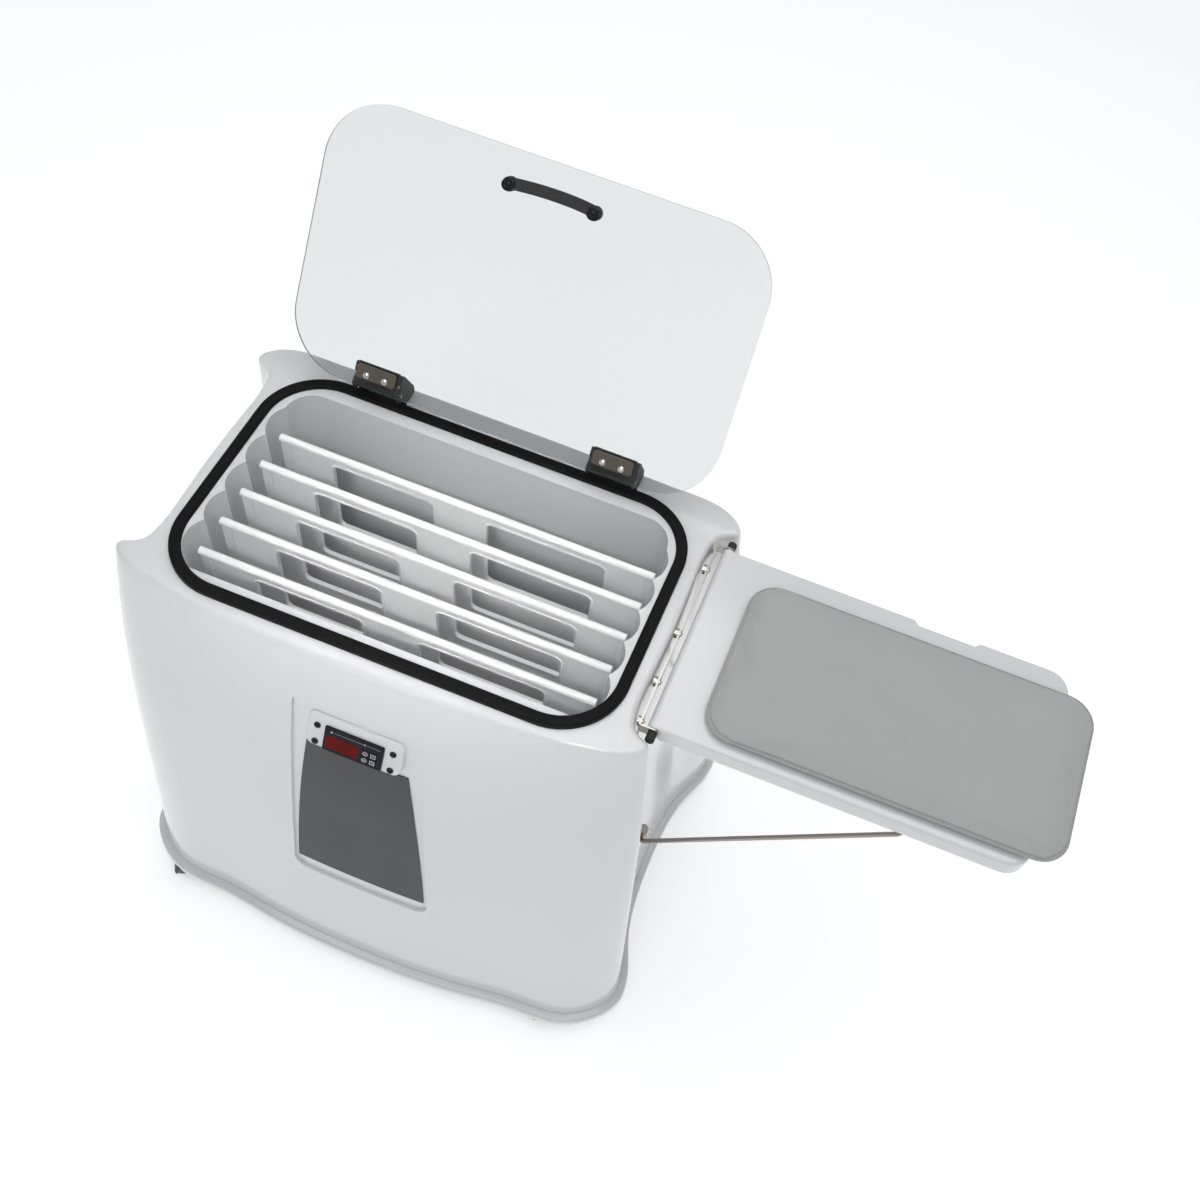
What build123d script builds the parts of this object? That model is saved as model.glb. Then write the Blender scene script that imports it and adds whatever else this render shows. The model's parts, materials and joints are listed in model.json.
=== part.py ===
"""Free-standing hot pack heater: a flared cabinet on casters holds an open water tank with lift-out
racks, a glass lid on two clamp hinges, a digital thermostat and a fold-down side shelf.

Millimetres, +Z up. Origin: on the floor, below the middle of the lid gasket. -Y is the front.
The lid stands open on its stop and the shelf is folded out.
"""
from build123d import *
import math
import os

# ------------------------------------------------------------------ cabinet
DECK_Z = 726.0                  # top of the deck above the floor
SKIRT_Z = 27.0                  # underside of the skirt above the floor
SKIRT_HEIGHT = 18.0
SKIRT_PROUD = 11.0              # how far the skirt stands out from the wall
SHELL_WALL = 5.0
DECK_ROUND = 7.0                # rounding of the deck's outer edge
SIDE_MID_Y = 12.0               # the side recesses are symmetric about this line
WALL_STEPS = 8                  # plan sections up the wall
ROUND_STEPS = 4                 # plan sections round an edge

# Plan outlines for x >= 0: front edge, horn tip, recessed side up to its middle, and back edge.
DECK_OUTLINE = dict(
    front=[(0, -188), (150, -184.7), (230, -179), (285, -170), (314, -159)],
    tip=(325.5, -145),
    side=[(316, -137), (303, -128), (297.5, -110), (297, -50)],
    back=[(318, 184), (295, 198), (240, 203.5), (150, 205.5), (0, 206.5)])
FOOT_OUTLINE = dict(
    front=[(0, -278), (150, -270.5), (235, -261), (298, -256), (345, -229)],
    tip=(366, -190),
    side=[(361, -160), (345, -118), (334, -70), (330.5, -30)],
    back=[(345, 232), (298, 239), (235, 240.5), (150, 242), (0, 243)])
FLARE = (1.848, -1.697, 0.849)  # cubic from deck (0) to foot (1): how far the wall has flared

# ------------------------------------------------------------------ tank, gasket and racks
GASKET_LENGTH = 560.0
GASKET_DEPTH = 340.4
GASKET_RADIUS = 81.7
GASKET_WIDTH = 14.0
GASKET_HEIGHT = 9.0             # above the deck
GASKET_LIP = 2.0                # rubber outside the flange's edge
GASKET_ROUND = 3.0
FLANGE_THICKNESS = 4.0
BAY_HALF_LENGTH = 261.0         # tank mouth, at the bottom of a scallop
RIDGE_HALF_LENGTH = 252.0       # tank mouth, at a ridge between two racks
TANK_FRONT_Y = -146.0
TANK_BACK_Y = 140.0
TANK_FRONT_RADIUS = 18.0
TANK_BACK_RADIUS = 35.1
TANK_WALL = 3.0
TANK_TAPER = 7.0                # how far each wall comes in at the bottom
DECK_HOLE_MARGIN = 2.5
INSULATION = 12.0
INSULATION_GAP = 0.5
INSULATION_HOLE = 16.0          # radius of the holes round the nuts

RACK_COUNT = 5
RACK_PITCH = 46.6
RACK_BACK_Y = 81.6              # middle of the rearmost rack
RACK_LENGTH = 498.0
RACK_TOP_Z = 705.0
RACK_HEIGHT = 320.0
HEATER_SPACE = 70.0             # from the racks' feet down to the tank's floor
RACK_THICKNESS = 3.0
RACK_RAIL_RADIUS = 5.0          # round bead along the rack's top edge
RACK_RIB = 6.0                  # width over the ribs round the windows
RACK_GROOVE_X = 237.0
RACK_WINDOWS = ((-178.0, -42.0), (30.0, 187.0))
RACK_WINDOW_TOP_Z = 684.0
RACK_WINDOW_BOTTOM_Z = 557.0
RACK_WINDOW_RADIUS = 9.0
SEAT_GAP = 0.3                  # clearance under pieces that only rest

# ------------------------------------------------------------------ rack stand and heater
STAND_THICKNESS = 3.0
STAND_MARGIN = 8.0
STAND_SLOT_PITCH = 30.0
STAND_SLOT_WIDTH = 10.0
STAND_LEG_RADIUS = 6.0
ELEMENT_RADIUS = 4.0
ELEMENT_LIFT = 30.0             # heater above the tank's floor
ELEMENT_HALF_LENGTH = 200.0
ELEMENT_HALF_WIDTH = 62.0
ELEMENT_LEAD_X = 22.0
ELEMENT_BEND = 24.0
ELEMENT_LEAD = 18.0             # how far the cold ends stand out behind the tank
NUT_ACROSS = 22.0
NUT_THICKNESS = 8.0
PROBE_RADIUS = 4.0
PROBE_LENGTH = 60.0
PROBE_X = 120.0
CUTOUT_RADIUS = 9.0
CUTOUT_HEIGHT = 12.0

# ------------------------------------------------------------------ glass lid and its hinges
GLASS_LENGTH = 551.0
GLASS_DEPTH = 333.8
GLASS_RADIUS = 77.0
GLASS_THICKNESS = 5.0
LID_OPEN = 123.1                # degrees from closed to the stop
PIVOT_Y = 166.3
PIVOT_Z = 752.3
LID_GAP = 0.3                   # between the closed glass and the gasket
HINGE_MID_X = 155.5
HINGE_WIDTH = 63.0
HINGE_CHEEK = 4.0
HINGE_SIDE_GAP = 0.4
LEAF_LENGTH = 30.0
LEAF_THICKNESS = 4.0
BARREL_RADIUS = 6.5
CHEEK_RADIUS = 9.0
PIN_RADIUS = 2.5
PIN_CLEARANCE = 0.05
BASE_FRONT_Y = 172.0
BASE_DEPTH = 28.0
BASE_THICKNESS = 6.0
STOP_START = 15.0
STOP_LENGTH = 12.0
STOP_THICKNESS = 5.0
CLAMP_START = 11.0              # from the glass's hinge edge
CLAMP_DEPTH = 18.0
CLAMP_WIDTH = 52.0
CLAMP_THICKNESS = 2.0
CLAMP_SCREW_SPACING = 24.0
CLAMP_SCREW_INSET = 16.0
SCREW_RADIUS = 2.0
SCREW_HEAD_RADIUS = 4.2
SCREW_HEAD_HEIGHT = 2.4
HEAD_EDGE_SHARE = 0.3           # straight edge of a domed head
HEAD_ARC = (0.7, 0.8)           # a point of the dome, in head radii and heights
SLOT_SHARE = (1.2, 0.3)         # driver slot, in head radii
GLASS_HOLE_CLEARANCE = 1.0
HANDLE_SPACING = 104.6
HANDLE_INSET = 292.6            # from the hinge edge to the handle's screws
HANDLE_WIDTH = 14.0
HANDLE_STRAP = 4.5
HANDLE_RISE = 30.0
HANDLE_FOOT_RADIUS = 8.5
HANDLE_FOOT_HEIGHT = 7.0
HANDLE_WASHER_RADIUS = 7.5

# ------------------------------------------------------------------ thermostat and front panel
SCOOP_DEPTH = 4.0
SCOOP_TOP_Z = 650.0
SCOOP_BOTTOM_Z = 238.0
SCOOP_TOP_HALF = 82.0
SCOOP_BOTTOM_HALF = 98.0
SCOOP_RADIUS = 20.0
FACE_WIDTH = 75.0
FACE_HEIGHT = 34.5
FACE_TILT = 26.0                # the face leans back from the vertical
FACE_MID_Y = -222.0
FACE_MID_Z = 601.0
FACE_PROUD = 2.5
BODY_WIDTH = 71.0
BODY_HEIGHT = 29.0
BODY_DEPTH = 40.0
BODY_CLEARANCE = 0.5
BEZEL_WIDTH = 120.0
BEZEL_ABOVE = 32.0              # above the middle of the face
BEZEL_BELOW = 18.5
BEZEL_DEPTH = 30.0
BEZEL_RADIUS = 9.0
BEZEL_ROUND = 2.5
BEZEL_SCREW_X = 48.0
BEZEL_SCREW_Z = 12.0
BEZEL_SCREW_HEAD = 4.3
BEZEL_SCREW_DEPTH = 8.0
DISPLAY_WIDTH = 41.0
DISPLAY_HEIGHT = 18.0
DISPLAY_X = -14.0
DISPLAY_Z = -4.5
DISPLAY_DEPTH = 1.5
KEY_WIDTH = 8.0
KEY_HEIGHT = 7.0
KEY_PITCH_X = 10.0
KEY_PITCH_Z = 9.4
KEY_MID_X = 21.0
KEY_MID_Z = -4.5
KEY_THICKNESS = 2.4
KEY_PROUD = 0.8
KEY_CLEARANCE = 0.2
KEY_WELL = 3.4
PANEL_TOP_Z = 564.5
PANEL_BOTTOM_Z = 264.0
PANEL_TOP_HALF = 65.9
PANEL_BOTTOM_HALF = 91.6
PANEL_BULGE = 3.0
PANEL_THICKNESS = 1.5
PANEL_GAP = 0.3                 # glue line behind the panel and the bezel

# ------------------------------------------------------------------ side shelf, rail and strut
SHELF_AXIS_X = 322.0
SHELF_AXIS_Z = 715.0
SHELF_FRONT_Y = -119.0
SHELF_BACK_Y = 143.0
SHELF_END_X = 755.0
SHELF_NOSE = 8.0                # radius of the rounded inner edge, about the rod
SHELF_DEPTH = 24.0
SHELF_SKIN = 4.0
SHELF_CORNER = 28.0
SHELF_EDGE_ROUND = 5.0
SHELF_HEEL = 8.0                # chamfer that clears the rail as the shelf folds
SHELF_RIBS = 4
SHELF_RIB_WIDTH = 3.0
SHELF_HUB_WIDTH = 20.0          # solid band round the rod
NOTCH_FROM_X = 565.0
NOTCH_TO_X = 635.0
NOTCH_DEPTH = 6.0
ROD_RADIUS = 3.0
ROD_CLEARANCE = 0.05
RAIL_FRONT_Y = -122.0
RAIL_BACK_Y = 146.0
RAIL_THICKNESS = 2.0
RAIL_TOP_Z = 724.0
RAIL_BOTTOM_Z = 700.0
RAIL_WALL_GAP = 0.3
LUG_LENGTH = 30.0
LUG_HEIGHT = 15.0
RAIL_SLOT_YS = (-112.0, -58.0, 12.0, 110.0)
RAIL_SLOT_LENGTH = 16.0
RAIL_SLOT_WIDTH = 5.0
RAIL_DIMPLE = 6.0               # radius of the pressed dimples that reach the wall
CAP_RADIUS = 5.5
CAP_LENGTH = 9.0
CAP_GAP = 0.3
STRUT_RADIUS = 3.0
STRUT_PIVOT_X = 335.0           # pins in the wall brackets
STRUT_PIVOT_Z = 408.0
STRUT_TOP_X = 619.5             # cross bar under the shelf
STRUT_LEG_INSET = 3.0           # legs inside the shelf's front and back edges
STRUT_BEND = 10.0
STRUT_PIN = 24.0
BRACKET_WIDTH = 10.0
BRACKET_RADIUS = 8.0
BRACKET_HEIGHT = 36.0
BRACKET_GAP = 0.3
CATCH_DEPTH = 2.0               # ridge outboard of the cross bar
CATCH_WIDTH = 5.0
CATCH_GAP = 1.0

# ------------------------------------------------------------------ hot pack
PACK_LENGTH = 430.0
PACK_DEPTH = 226.0
PACK_THICKNESS = 24.0
PACK_MID_X = 578.0
PACK_MID_Y = 1.5
PACK_CORNER = 40.0
PACK_EDGE = 8.0                 # thickness at the seam

# ------------------------------------------------------------------ base, casters and services
BASE_PLATE_Z = 29.0
BASE_PLATE_THICKNESS = 6.0
BASE_PLATE_GAP = 0.3
CASTER_X = 293.0
CASTER_FRONT_Y = -236.0
CASTER_BACK_Y = 205.0
CASTER_HEADINGS = (211.0, 207.0, 176.0, 170.0)
CASTER_TRAIL = 22.8
CASTER_STEM_RADIUS = 5.0
CASTER_STEM_LENGTH = 14.0
WHEEL_RADIUS = 11.5
WHEEL_WIDTH = 9.0
WHEEL_CORE_GAP = 5.0            # half width of the fork web between the wheels
AXLE_RADIUS = 2.5
HOOD_GAP = 1.0
HOOD_WALL = 2.0
HOOD_TOP_GAP = 0.6
FORK_BOSS_RADIUS = 8.0
FORK_BOSS_LOW = 6.0             # underside of the boss above the floor
FORK_BOSS_DEPTH = 14.0          # blind bore for the stem
SPOT_DEPTH = 0.8                # flat faces cut in the back wall under the nuts
SPOT_RADIUS = 15.5
SPOT_REACH = 8.0
DRAIN_X = -150.0
DRAIN_Y = 40.0
DRAIN_Z = 110.0
PIPE_RADIUS = 8.0
PIPE_WALL = 2.0
PIPE_BEND = 30.0
VALVE_RADIUS = 12.0
VALVE_LENGTH = 30.0
BARB_LENGTH = 24.0
LEVER_LENGTH = 36.0
LEVER_WIDTH = 10.0
LEVER_THICKNESS = 4.0
LEVER_STEM_RADIUS = 3.0
LEVER_STEM_HEIGHT = 8.0
GLAND_X = 150.0
GLAND_Z = 110.0
GLAND_ACROSS = 24.0
GLAND_NUT = 6.0
GLAND_LENGTH = 20.0
GLAND_BORE = 4.5
GLAND_TUBE_RADIUS = 8.0
GLAND_TUBE_WALL = 1.8

# ------------------------------------------------------------------ derived levels
GASKET_TOP_Z = DECK_Z + GASKET_HEIGHT
FLANGE_TOP_Z = DECK_Z + FLANGE_THICKNESS
SKIRT_TOP_Z = SKIRT_Z + SKIRT_HEIGHT
DECK_UNDER_Z = DECK_Z - SHELL_WALL
RACK_BOTTOM_Z = RACK_TOP_Z - RACK_HEIGHT
TANK_FLOOR_Z = RACK_BOTTOM_Z - HEATER_SPACE   # inside bottom of the tank
ELEMENT_Z = TANK_FLOOR_Z + ELEMENT_LIFT
STAND_TOP_Z = RACK_BOTTOM_Z - SEAT_GAP
PARTS = "parts"


def save(shape, name):
    """Write one sub-part."""
    export_step(shape, f"{PARTS}/{name}.step")


def mirrored_x(shape):
    """The same piece on the other side of the cabinet's middle plane."""
    return mirror(shape, about=Plane.YZ)


# ------------------------------------------------------------------ cabinet outlines
def flare(z):
    """0 at the deck, 1 at the foot of the wall."""
    u = min(max((DECK_Z - z) / (DECK_Z - SKIRT_TOP_Z), 0.0), 1.0)
    return FLARE[0] * u + FLARE[1] * u ** 2 + FLARE[2] * u ** 3


def blend_points(first, second, share):
    """Points between two lists of plan points."""
    return [(a[0] + (b[0] - a[0]) * share, a[1] + (b[1] - a[1]) * share) for a, b in zip(first, second)]


def half_outline(z):
    """The x >= 0 half of the plan outline at height z, from the front middle to the back middle,
    and the indices of its two horn tips."""
    share = flare(z)
    front = blend_points(DECK_OUTLINE["front"], FOOT_OUTLINE["front"], share)
    tip = blend_points([DECK_OUTLINE["tip"]], [FOOT_OUTLINE["tip"]], share)
    side = blend_points(DECK_OUTLINE["side"], FOOT_OUTLINE["side"], share)
    back = blend_points(DECK_OUTLINE["back"], FOOT_OUTLINE["back"], share)
    rear = [(x, 2 * SIDE_MID_Y - y) for x, y in reversed(tip + side)]
    return front + tip + side + rear + back, len(front), len(front) + len(side) * 2 + 1


def inset_points(points, inset):
    """Move each point of a closed loop inwards, square to the curve through its neighbours."""
    moved = []
    for i, (x, y) in enumerate(points):
        px, py = points[i - 1]
        nx, ny = points[(i + 1) % len(points)]
        before = math.hypot(x - px, y - py)
        after = math.hypot(nx - x, ny - y)
        tx = (x - px) / before ** 2 + (nx - x) / after ** 2
        ty = (y - py) / before ** 2 + (ny - y) / after ** 2
        size = math.hypot(tx, ty)
        moved.append((x - inset * ty / size, y + inset * tx / size))
    return moved


TIP_TANGENTS = ((0, 1), (0, 1), (0, -1), (0, -1))


def cabinet_section(z, inset=0.0):
    """Closed plan wire at height z: four curves that meet at the horn tips."""
    half, front_tip, back_tip = half_outline(z)
    loop = half + [(-x, y) for x, y in reversed(half[1:-1])]
    loop = inset_points(loop, inset)
    count = len(loop)
    corners = [front_tip, back_tip, count - back_tip, count - front_tip]
    edges = []
    for i, start in enumerate(corners):
        end = corners[(i + 1) % 4]
        span = loop[start:end + 1] if end > start else loop[start:] + loop[:end + 1]
        edges.append(Edge.make_spline([Vector(x, y, z) for x, y in span],
                                      tangents=[Vector(*TIP_TANGENTS[i], 0),
                                                Vector(*TIP_TANGENTS[(i + 1) % 4], 0)], scale=False))
    return Wire(edges)


def cabinet_loft(levels, ruled=False):
    """Solid through plan sections given as (z, inset) pairs."""
    return Part() + Solid.make_loft([cabinet_section(z, inset) for z, inset in levels], ruled)


def wall_levels(bottom, top, inset, steps=WALL_STEPS):
    """Evenly spaced (z, inset) pairs up the wall."""
    return [(bottom + (top - bottom) * i / steps, inset) for i in range(steps + 1)]


def wall_x(z, y=SIDE_MID_Y, inset=0.0):
    """Where the right side wall stands at height z, by straight lines between the outline's points."""
    half, front_tip, back_tip = half_outline(z)
    points = inset_points(half + [(-x, y) for x, y in reversed(half[1:-1])], inset)[front_tip:back_tip + 1]
    for (ax, ay), (bx, by) in zip(points, points[1:]):
        if ay <= y <= by:
            return ax + (bx - ax) * (y - ay) / (by - ay)
    raise ValueError("that y is outside the side wall")


def front_y(z):
    """Where the front wall stands on the middle line at height z."""
    return half_outline(z)[0][0][1]


def back_y(z):
    """Where the back wall stands at height z, at the drain and the cord gland."""
    return half_outline(z)[0][-2][1]


# ------------------------------------------------------------------ small helpers
def rounded_plate(length, depth, radius, bottom, height, mid_x=0.0, mid_y=0.0):
    """Upright prism with a rounded rectangle as its plan."""
    plan = Pos(mid_x, mid_y, bottom) * RectangleRounded(length, depth, radius)
    return extrude(plan, height, dir=(0, 0, 1))


def box_between(low, high):
    """Box from its lowest to its highest corner."""
    size = [b - a for a, b in zip(low, high)]
    middle = [(a + b) / 2 for a, b in zip(low, high)]
    return Pos(*middle) * Box(*size)


def rod(start, end, radius):
    """Round bar between two points."""
    axis = Vector(*end) - Vector(*start)
    return Plane(origin=start, z_dir=axis) * extrude(Circle(radius), axis.length)


def hexagon_nut(start, direction, across, length, bore=0.0):
    """Hexagonal nut with an optional bore, from start along direction."""
    plane = Plane(origin=start, z_dir=direction)
    nut = plane * extrude(RegularPolygon(across / math.sqrt(3), 6), length)
    if bore:
        nut -= plane * extrude(Circle(bore), length)
    return nut


def round_screw(point, direction, head_radius, head_height, shank):
    """Dome-headed screw: its head stands on the face at point, its shank goes the other way."""
    plane = Plane(origin=point, z_dir=direction)
    profile = make_face([
        Line((0, -shank), (SCREW_RADIUS, -shank)),
        Line((SCREW_RADIUS, -shank), (SCREW_RADIUS, 0)),
        Line((SCREW_RADIUS, 0), (head_radius, 0)),
        Line((head_radius, 0), (head_radius, head_height * HEAD_EDGE_SHARE)),
        ThreePointArc((head_radius, head_height * HEAD_EDGE_SHARE),
                      (head_radius * HEAD_ARC[0], head_height * HEAD_ARC[1]), (0, head_height)),
        Line((0, head_height), (0, -shank)),
    ])
    turned = revolve(Plane.XZ * profile, Axis.Z)
    slot = Pos(0, 0, head_height) * Box(head_radius * SLOT_SHARE[0], head_radius * SLOT_SHARE[1], head_height)
    return plane * (turned - slot)


# ------------------------------------------------------------------ cabinet
def scoop_prism(grow=0.0):
    """Block whose outline is the shallow scoop round the thermostat and the front panel."""
    outline = Polygon((-SCOOP_TOP_HALF - grow, SCOOP_TOP_Z + grow), (SCOOP_TOP_HALF + grow, SCOOP_TOP_Z + grow),
                      (SCOOP_BOTTOM_HALF + grow, SCOOP_BOTTOM_Z - grow),
                      (-SCOOP_BOTTOM_HALF - grow, SCOOP_BOTTOM_Z - grow), align=None)
    outline = fillet(outline.vertices(), SCOOP_RADIUS)
    reach = -front_y(SKIRT_TOP_Z) + SKIRT_PROUD
    return extrude(Plane.XZ * outline, reach, dir=(0, -1, 0))


def deck_hole():
    """Block of the hole that the tank hangs through."""
    margin = TANK_WALL + DECK_HOLE_MARGIN
    length = 2 * (BAY_HALF_LENGTH + margin)
    depth = TANK_BACK_Y - TANK_FRONT_Y + 2 * margin
    mid_y = (TANK_BACK_Y + TANK_FRONT_Y) / 2
    return rounded_plate(length, depth, TANK_BACK_RADIUS + margin, DECK_UNDER_Z - SHELL_WALL,
                         3 * SHELL_WALL, mid_y=mid_y)


def quarter_round(z, radius, inset, upwards):
    """(z, inset) pairs that round an outer edge: from the wall towards the flat."""
    pairs = []
    for i in range(ROUND_STEPS + 1):
        angle = math.radians(90 * i / ROUND_STEPS)
        rise = radius * math.sin(angle)
        pairs.append((z + rise if upwards else z - rise, inset + radius * (1 - math.cos(angle))))
    return pairs


def make_cabinet_shell():
    """One-piece moulding: flared wall, rounded deck, skirt, scoop and the holes for what it carries."""
    roll_z = DECK_Z - DECK_ROUND
    outer = cabinet_loft(wall_levels(SKIRT_Z, roll_z, 0.0))
    outer += cabinet_loft(quarter_round(roll_z, DECK_ROUND, 0.0, True), ruled=True)
    skirt_round = SKIRT_HEIGHT / 4
    skirt = quarter_round(SKIRT_Z + skirt_round, skirt_round, -SKIRT_PROUD, False)[::-1]
    skirt += quarter_round(SKIRT_TOP_Z - skirt_round, skirt_round, -SKIRT_PROUD, True)
    outer += cabinet_loft(skirt, ruled=True)
    scoop = scoop_prism()
    floor_of_scoop = cabinet_loft(wall_levels(SKIRT_Z, roll_z, SCOOP_DEPTH))
    outer -= scoop - floor_of_scoop
    inner = cabinet_loft(wall_levels(SKIRT_Z, DECK_UNDER_Z, SHELL_WALL))
    deep = cabinet_loft(wall_levels(SKIRT_Z, DECK_UNDER_Z, SHELL_WALL + SCOOP_DEPTH))
    behind = scoop_prism(SHELL_WALL)
    shell = outer - (inner - (behind - deep))
    shell -= deck_hole()
    shell -= thermostat_tunnel()
    for x, z in bezel_screw_places():
        shell -= face_plane(FACE_PROUD) * (Pos(x, z, 0) * Cylinder(SCREW_RADIUS, 2 * BEZEL_SCREW_DEPTH))
    for x, z, radius in ((GLAND_X, GLAND_Z, GLAND_TUBE_RADIUS), (DRAIN_X, DRAIN_Z, PIPE_RADIUS)):
        inside, outside = wall_seats(z)
        shell -= rod((x, inside, z), (x, outside, z), radius + PIN_CLEARANCE)
        shell -= rod((x, inside - SPOT_REACH, z), (x, inside, z), SPOT_RADIUS)
        shell -= rod((x, outside, z), (x, outside + SPOT_REACH, z), SPOT_RADIUS)
    return shell


def wall_seats(z):
    """The two flat faces, inside and outside, spot-faced in the back wall for a nut at height z."""
    return back_y(z) - SHELL_WALL + SPOT_DEPTH, back_y(z) - SPOT_DEPTH


def wall_block(bottom, top, gap):
    """The cabinet's outside, grown by a gap, between two heights."""
    return cabinet_loft(wall_levels(bottom, top, -gap))


def make_base_plate():
    """Plate that closes the cabinet's underside and carries the casters."""
    top = BASE_PLATE_Z + BASE_PLATE_THICKNESS
    reach = SHELF_END_X
    plate = cabinet_loft(wall_levels(SKIRT_Z, DECK_UNDER_Z, SHELL_WALL + BASE_PLATE_GAP))
    plate &= box_between((-reach, -reach, BASE_PLATE_Z), (reach, reach, top))
    for x, y in caster_places():
        plate -= rod((x, y, BASE_PLATE_Z), (x, y, top), CASTER_STEM_RADIUS)
    return plate


# ------------------------------------------------------------------ tank, gasket, insulation
def tank_mouth(z, inset):
    """Closed wire of the tank's inside at height z: scalloped ends between rounded corners."""
    front = TANK_FRONT_Y + inset
    back = TANK_BACK_Y - inset
    bay = BAY_HALF_LENGTH - inset
    ridge = RIDGE_HALF_LENGTH - inset
    first = RACK_BACK_Y + RACK_PITCH / 2
    ridges = [first - RACK_PITCH * i for i in range(RACK_COUNT + 1)]
    ridges[0] = back - TANK_BACK_RADIUS
    ridges[-1] = front + TANK_FRONT_RADIUS
    edges = []
    for side in (1, -1):
        ends = ridges if side == -1 else ridges[::-1]
        for a, b in zip(ends, ends[1:]):
            edges.append(Edge.make_three_point_arc((side * ridge, a, z), (side * bay, (a + b) / 2, z),
                                                   (side * ridge, b, z)))
        corner_y = back if side == 1 else front
        radius = TANK_BACK_RADIUS if side == 1 else TANK_FRONT_RADIUS
        other = TANK_FRONT_RADIUS if side == 1 else TANK_BACK_RADIUS
        edges.append(quarter_arc(side * ridge, ends[-1], side, corner_y, radius, z))
        edges.append(Edge.make_line((side * (ridge - radius), corner_y, z), (-side * (ridge - radius), corner_y, z)))
        edges.append(quarter_arc(-side * ridge, ends[-1], -side, corner_y, radius, z))
    return Wire(edges)


def quarter_arc(x, y, side, corner_y, radius, z):
    """Rounded corner from the end wall at (x, y) to the long wall at corner_y."""
    middle_x = x - side * radius * (1 - math.sqrt(0.5))
    middle_y = corner_y - math.copysign(radius * (1 - math.sqrt(0.5)), corner_y - y)
    return Edge.make_three_point_arc((x, y, z), (middle_x, middle_y, z), (x - side * radius, corner_y, z))


def tank_block(top, bottom, grow):
    """Tapered block round the tank's bays, grown by grow on every side."""
    sections = []
    for z, inset in ((bottom, TANK_TAPER), (top, 0.0)):
        length = 2 * (BAY_HALF_LENGTH - inset + grow)
        depth = TANK_BACK_Y - TANK_FRONT_Y - 2 * inset + 2 * grow
        plan = Pos(0, (TANK_BACK_Y + TANK_FRONT_Y) / 2, z) * RectangleRounded(length, depth, TANK_BACK_RADIUS + grow)
        sections.append(plan)
    return loft(sections, ruled=True)


def make_tank_liner():
    """Moulded water tank: flange on the deck, scalloped ends that guide the racks, holes for the heater."""
    margin = 2 * GASKET_LIP
    flange = rounded_plate(GASKET_LENGTH - margin, GASKET_DEPTH - margin, GASKET_RADIUS - GASKET_LIP, DECK_Z,
                           FLANGE_THICKNESS)
    body = tank_block(DECK_Z, TANK_FLOOR_Z - TANK_WALL, TANK_WALL)
    mouths = [tank_mouth(TANK_FLOOR_Z, TANK_TAPER), tank_mouth(FLANGE_TOP_Z, 0.0)]
    cavity = Part() + Solid.make_loft(mouths, True)
    tank = flange + body - cavity
    for x in (-ELEMENT_LEAD_X, ELEMENT_LEAD_X):
        tank -= element_lead(x, ELEMENT_RADIUS + PIN_CLEARANCE)
    tank -= rod((DRAIN_X, DRAIN_Y, 0), (DRAIN_X, DRAIN_Y, TANK_FLOOR_Z), PIPE_RADIUS - PIPE_WALL)
    tank -= rod(*probe_line(), PROBE_RADIUS + PIN_CLEARANCE)
    return tank


def make_lid_gasket():
    """Black rubber ring that sits on the tank's flange and wraps its edge."""
    outer = rounded_plate(GASKET_LENGTH, GASKET_DEPTH, GASKET_RADIUS, DECK_Z, GASKET_HEIGHT)
    inner = rounded_plate(GASKET_LENGTH - 2 * GASKET_WIDTH, GASKET_DEPTH - 2 * GASKET_WIDTH,
                          GASKET_RADIUS - GASKET_WIDTH, DECK_Z, GASKET_HEIGHT)
    ring = outer - inner
    top = ring.edges().filter_by(lambda e: abs(e.center().Z - GASKET_TOP_Z) < GASKET_LIP / 4)
    ring = fillet(top, GASKET_ROUND)
    margin = 2 * GASKET_LIP
    return ring - rounded_plate(GASKET_LENGTH - margin, GASKET_DEPTH - margin, GASKET_RADIUS - GASKET_LIP,
                                DECK_Z, FLANGE_THICKNESS)


def make_tank_insulation():
    """Foam jacket round the tank's walls and under its floor."""
    top = DECK_UNDER_Z - INSULATION_GAP
    near = TANK_WALL + INSULATION_GAP
    jacket = tank_block(DECK_Z, TANK_FLOOR_Z - TANK_WALL - INSULATION, near + INSULATION)
    jacket -= tank_block(DECK_Z, TANK_FLOOR_Z - TANK_WALL - INSULATION_GAP, near)
    reach = 2 * BAY_HALF_LENGTH
    jacket -= box_between((-reach, -reach, top), (reach, reach, DECK_Z + reach))
    for x in (-ELEMENT_LEAD_X, ELEMENT_LEAD_X):
        jacket -= element_lead(x, INSULATION_HOLE)
    jacket -= rod(*probe_line(), INSULATION_HOLE)
    jacket -= rod((DRAIN_X, DRAIN_Y, 0), (DRAIN_X, DRAIN_Y, TANK_FLOOR_Z), PIPE_RADIUS + BODY_CLEARANCE)
    lowest = TANK_FLOOR_Z - TANK_WALL - 2 * INSULATION
    jacket -= rod((0, 0, lowest), (0, 0, TANK_FLOOR_Z), CUTOUT_RADIUS + BODY_CLEARANCE)
    return jacket


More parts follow.
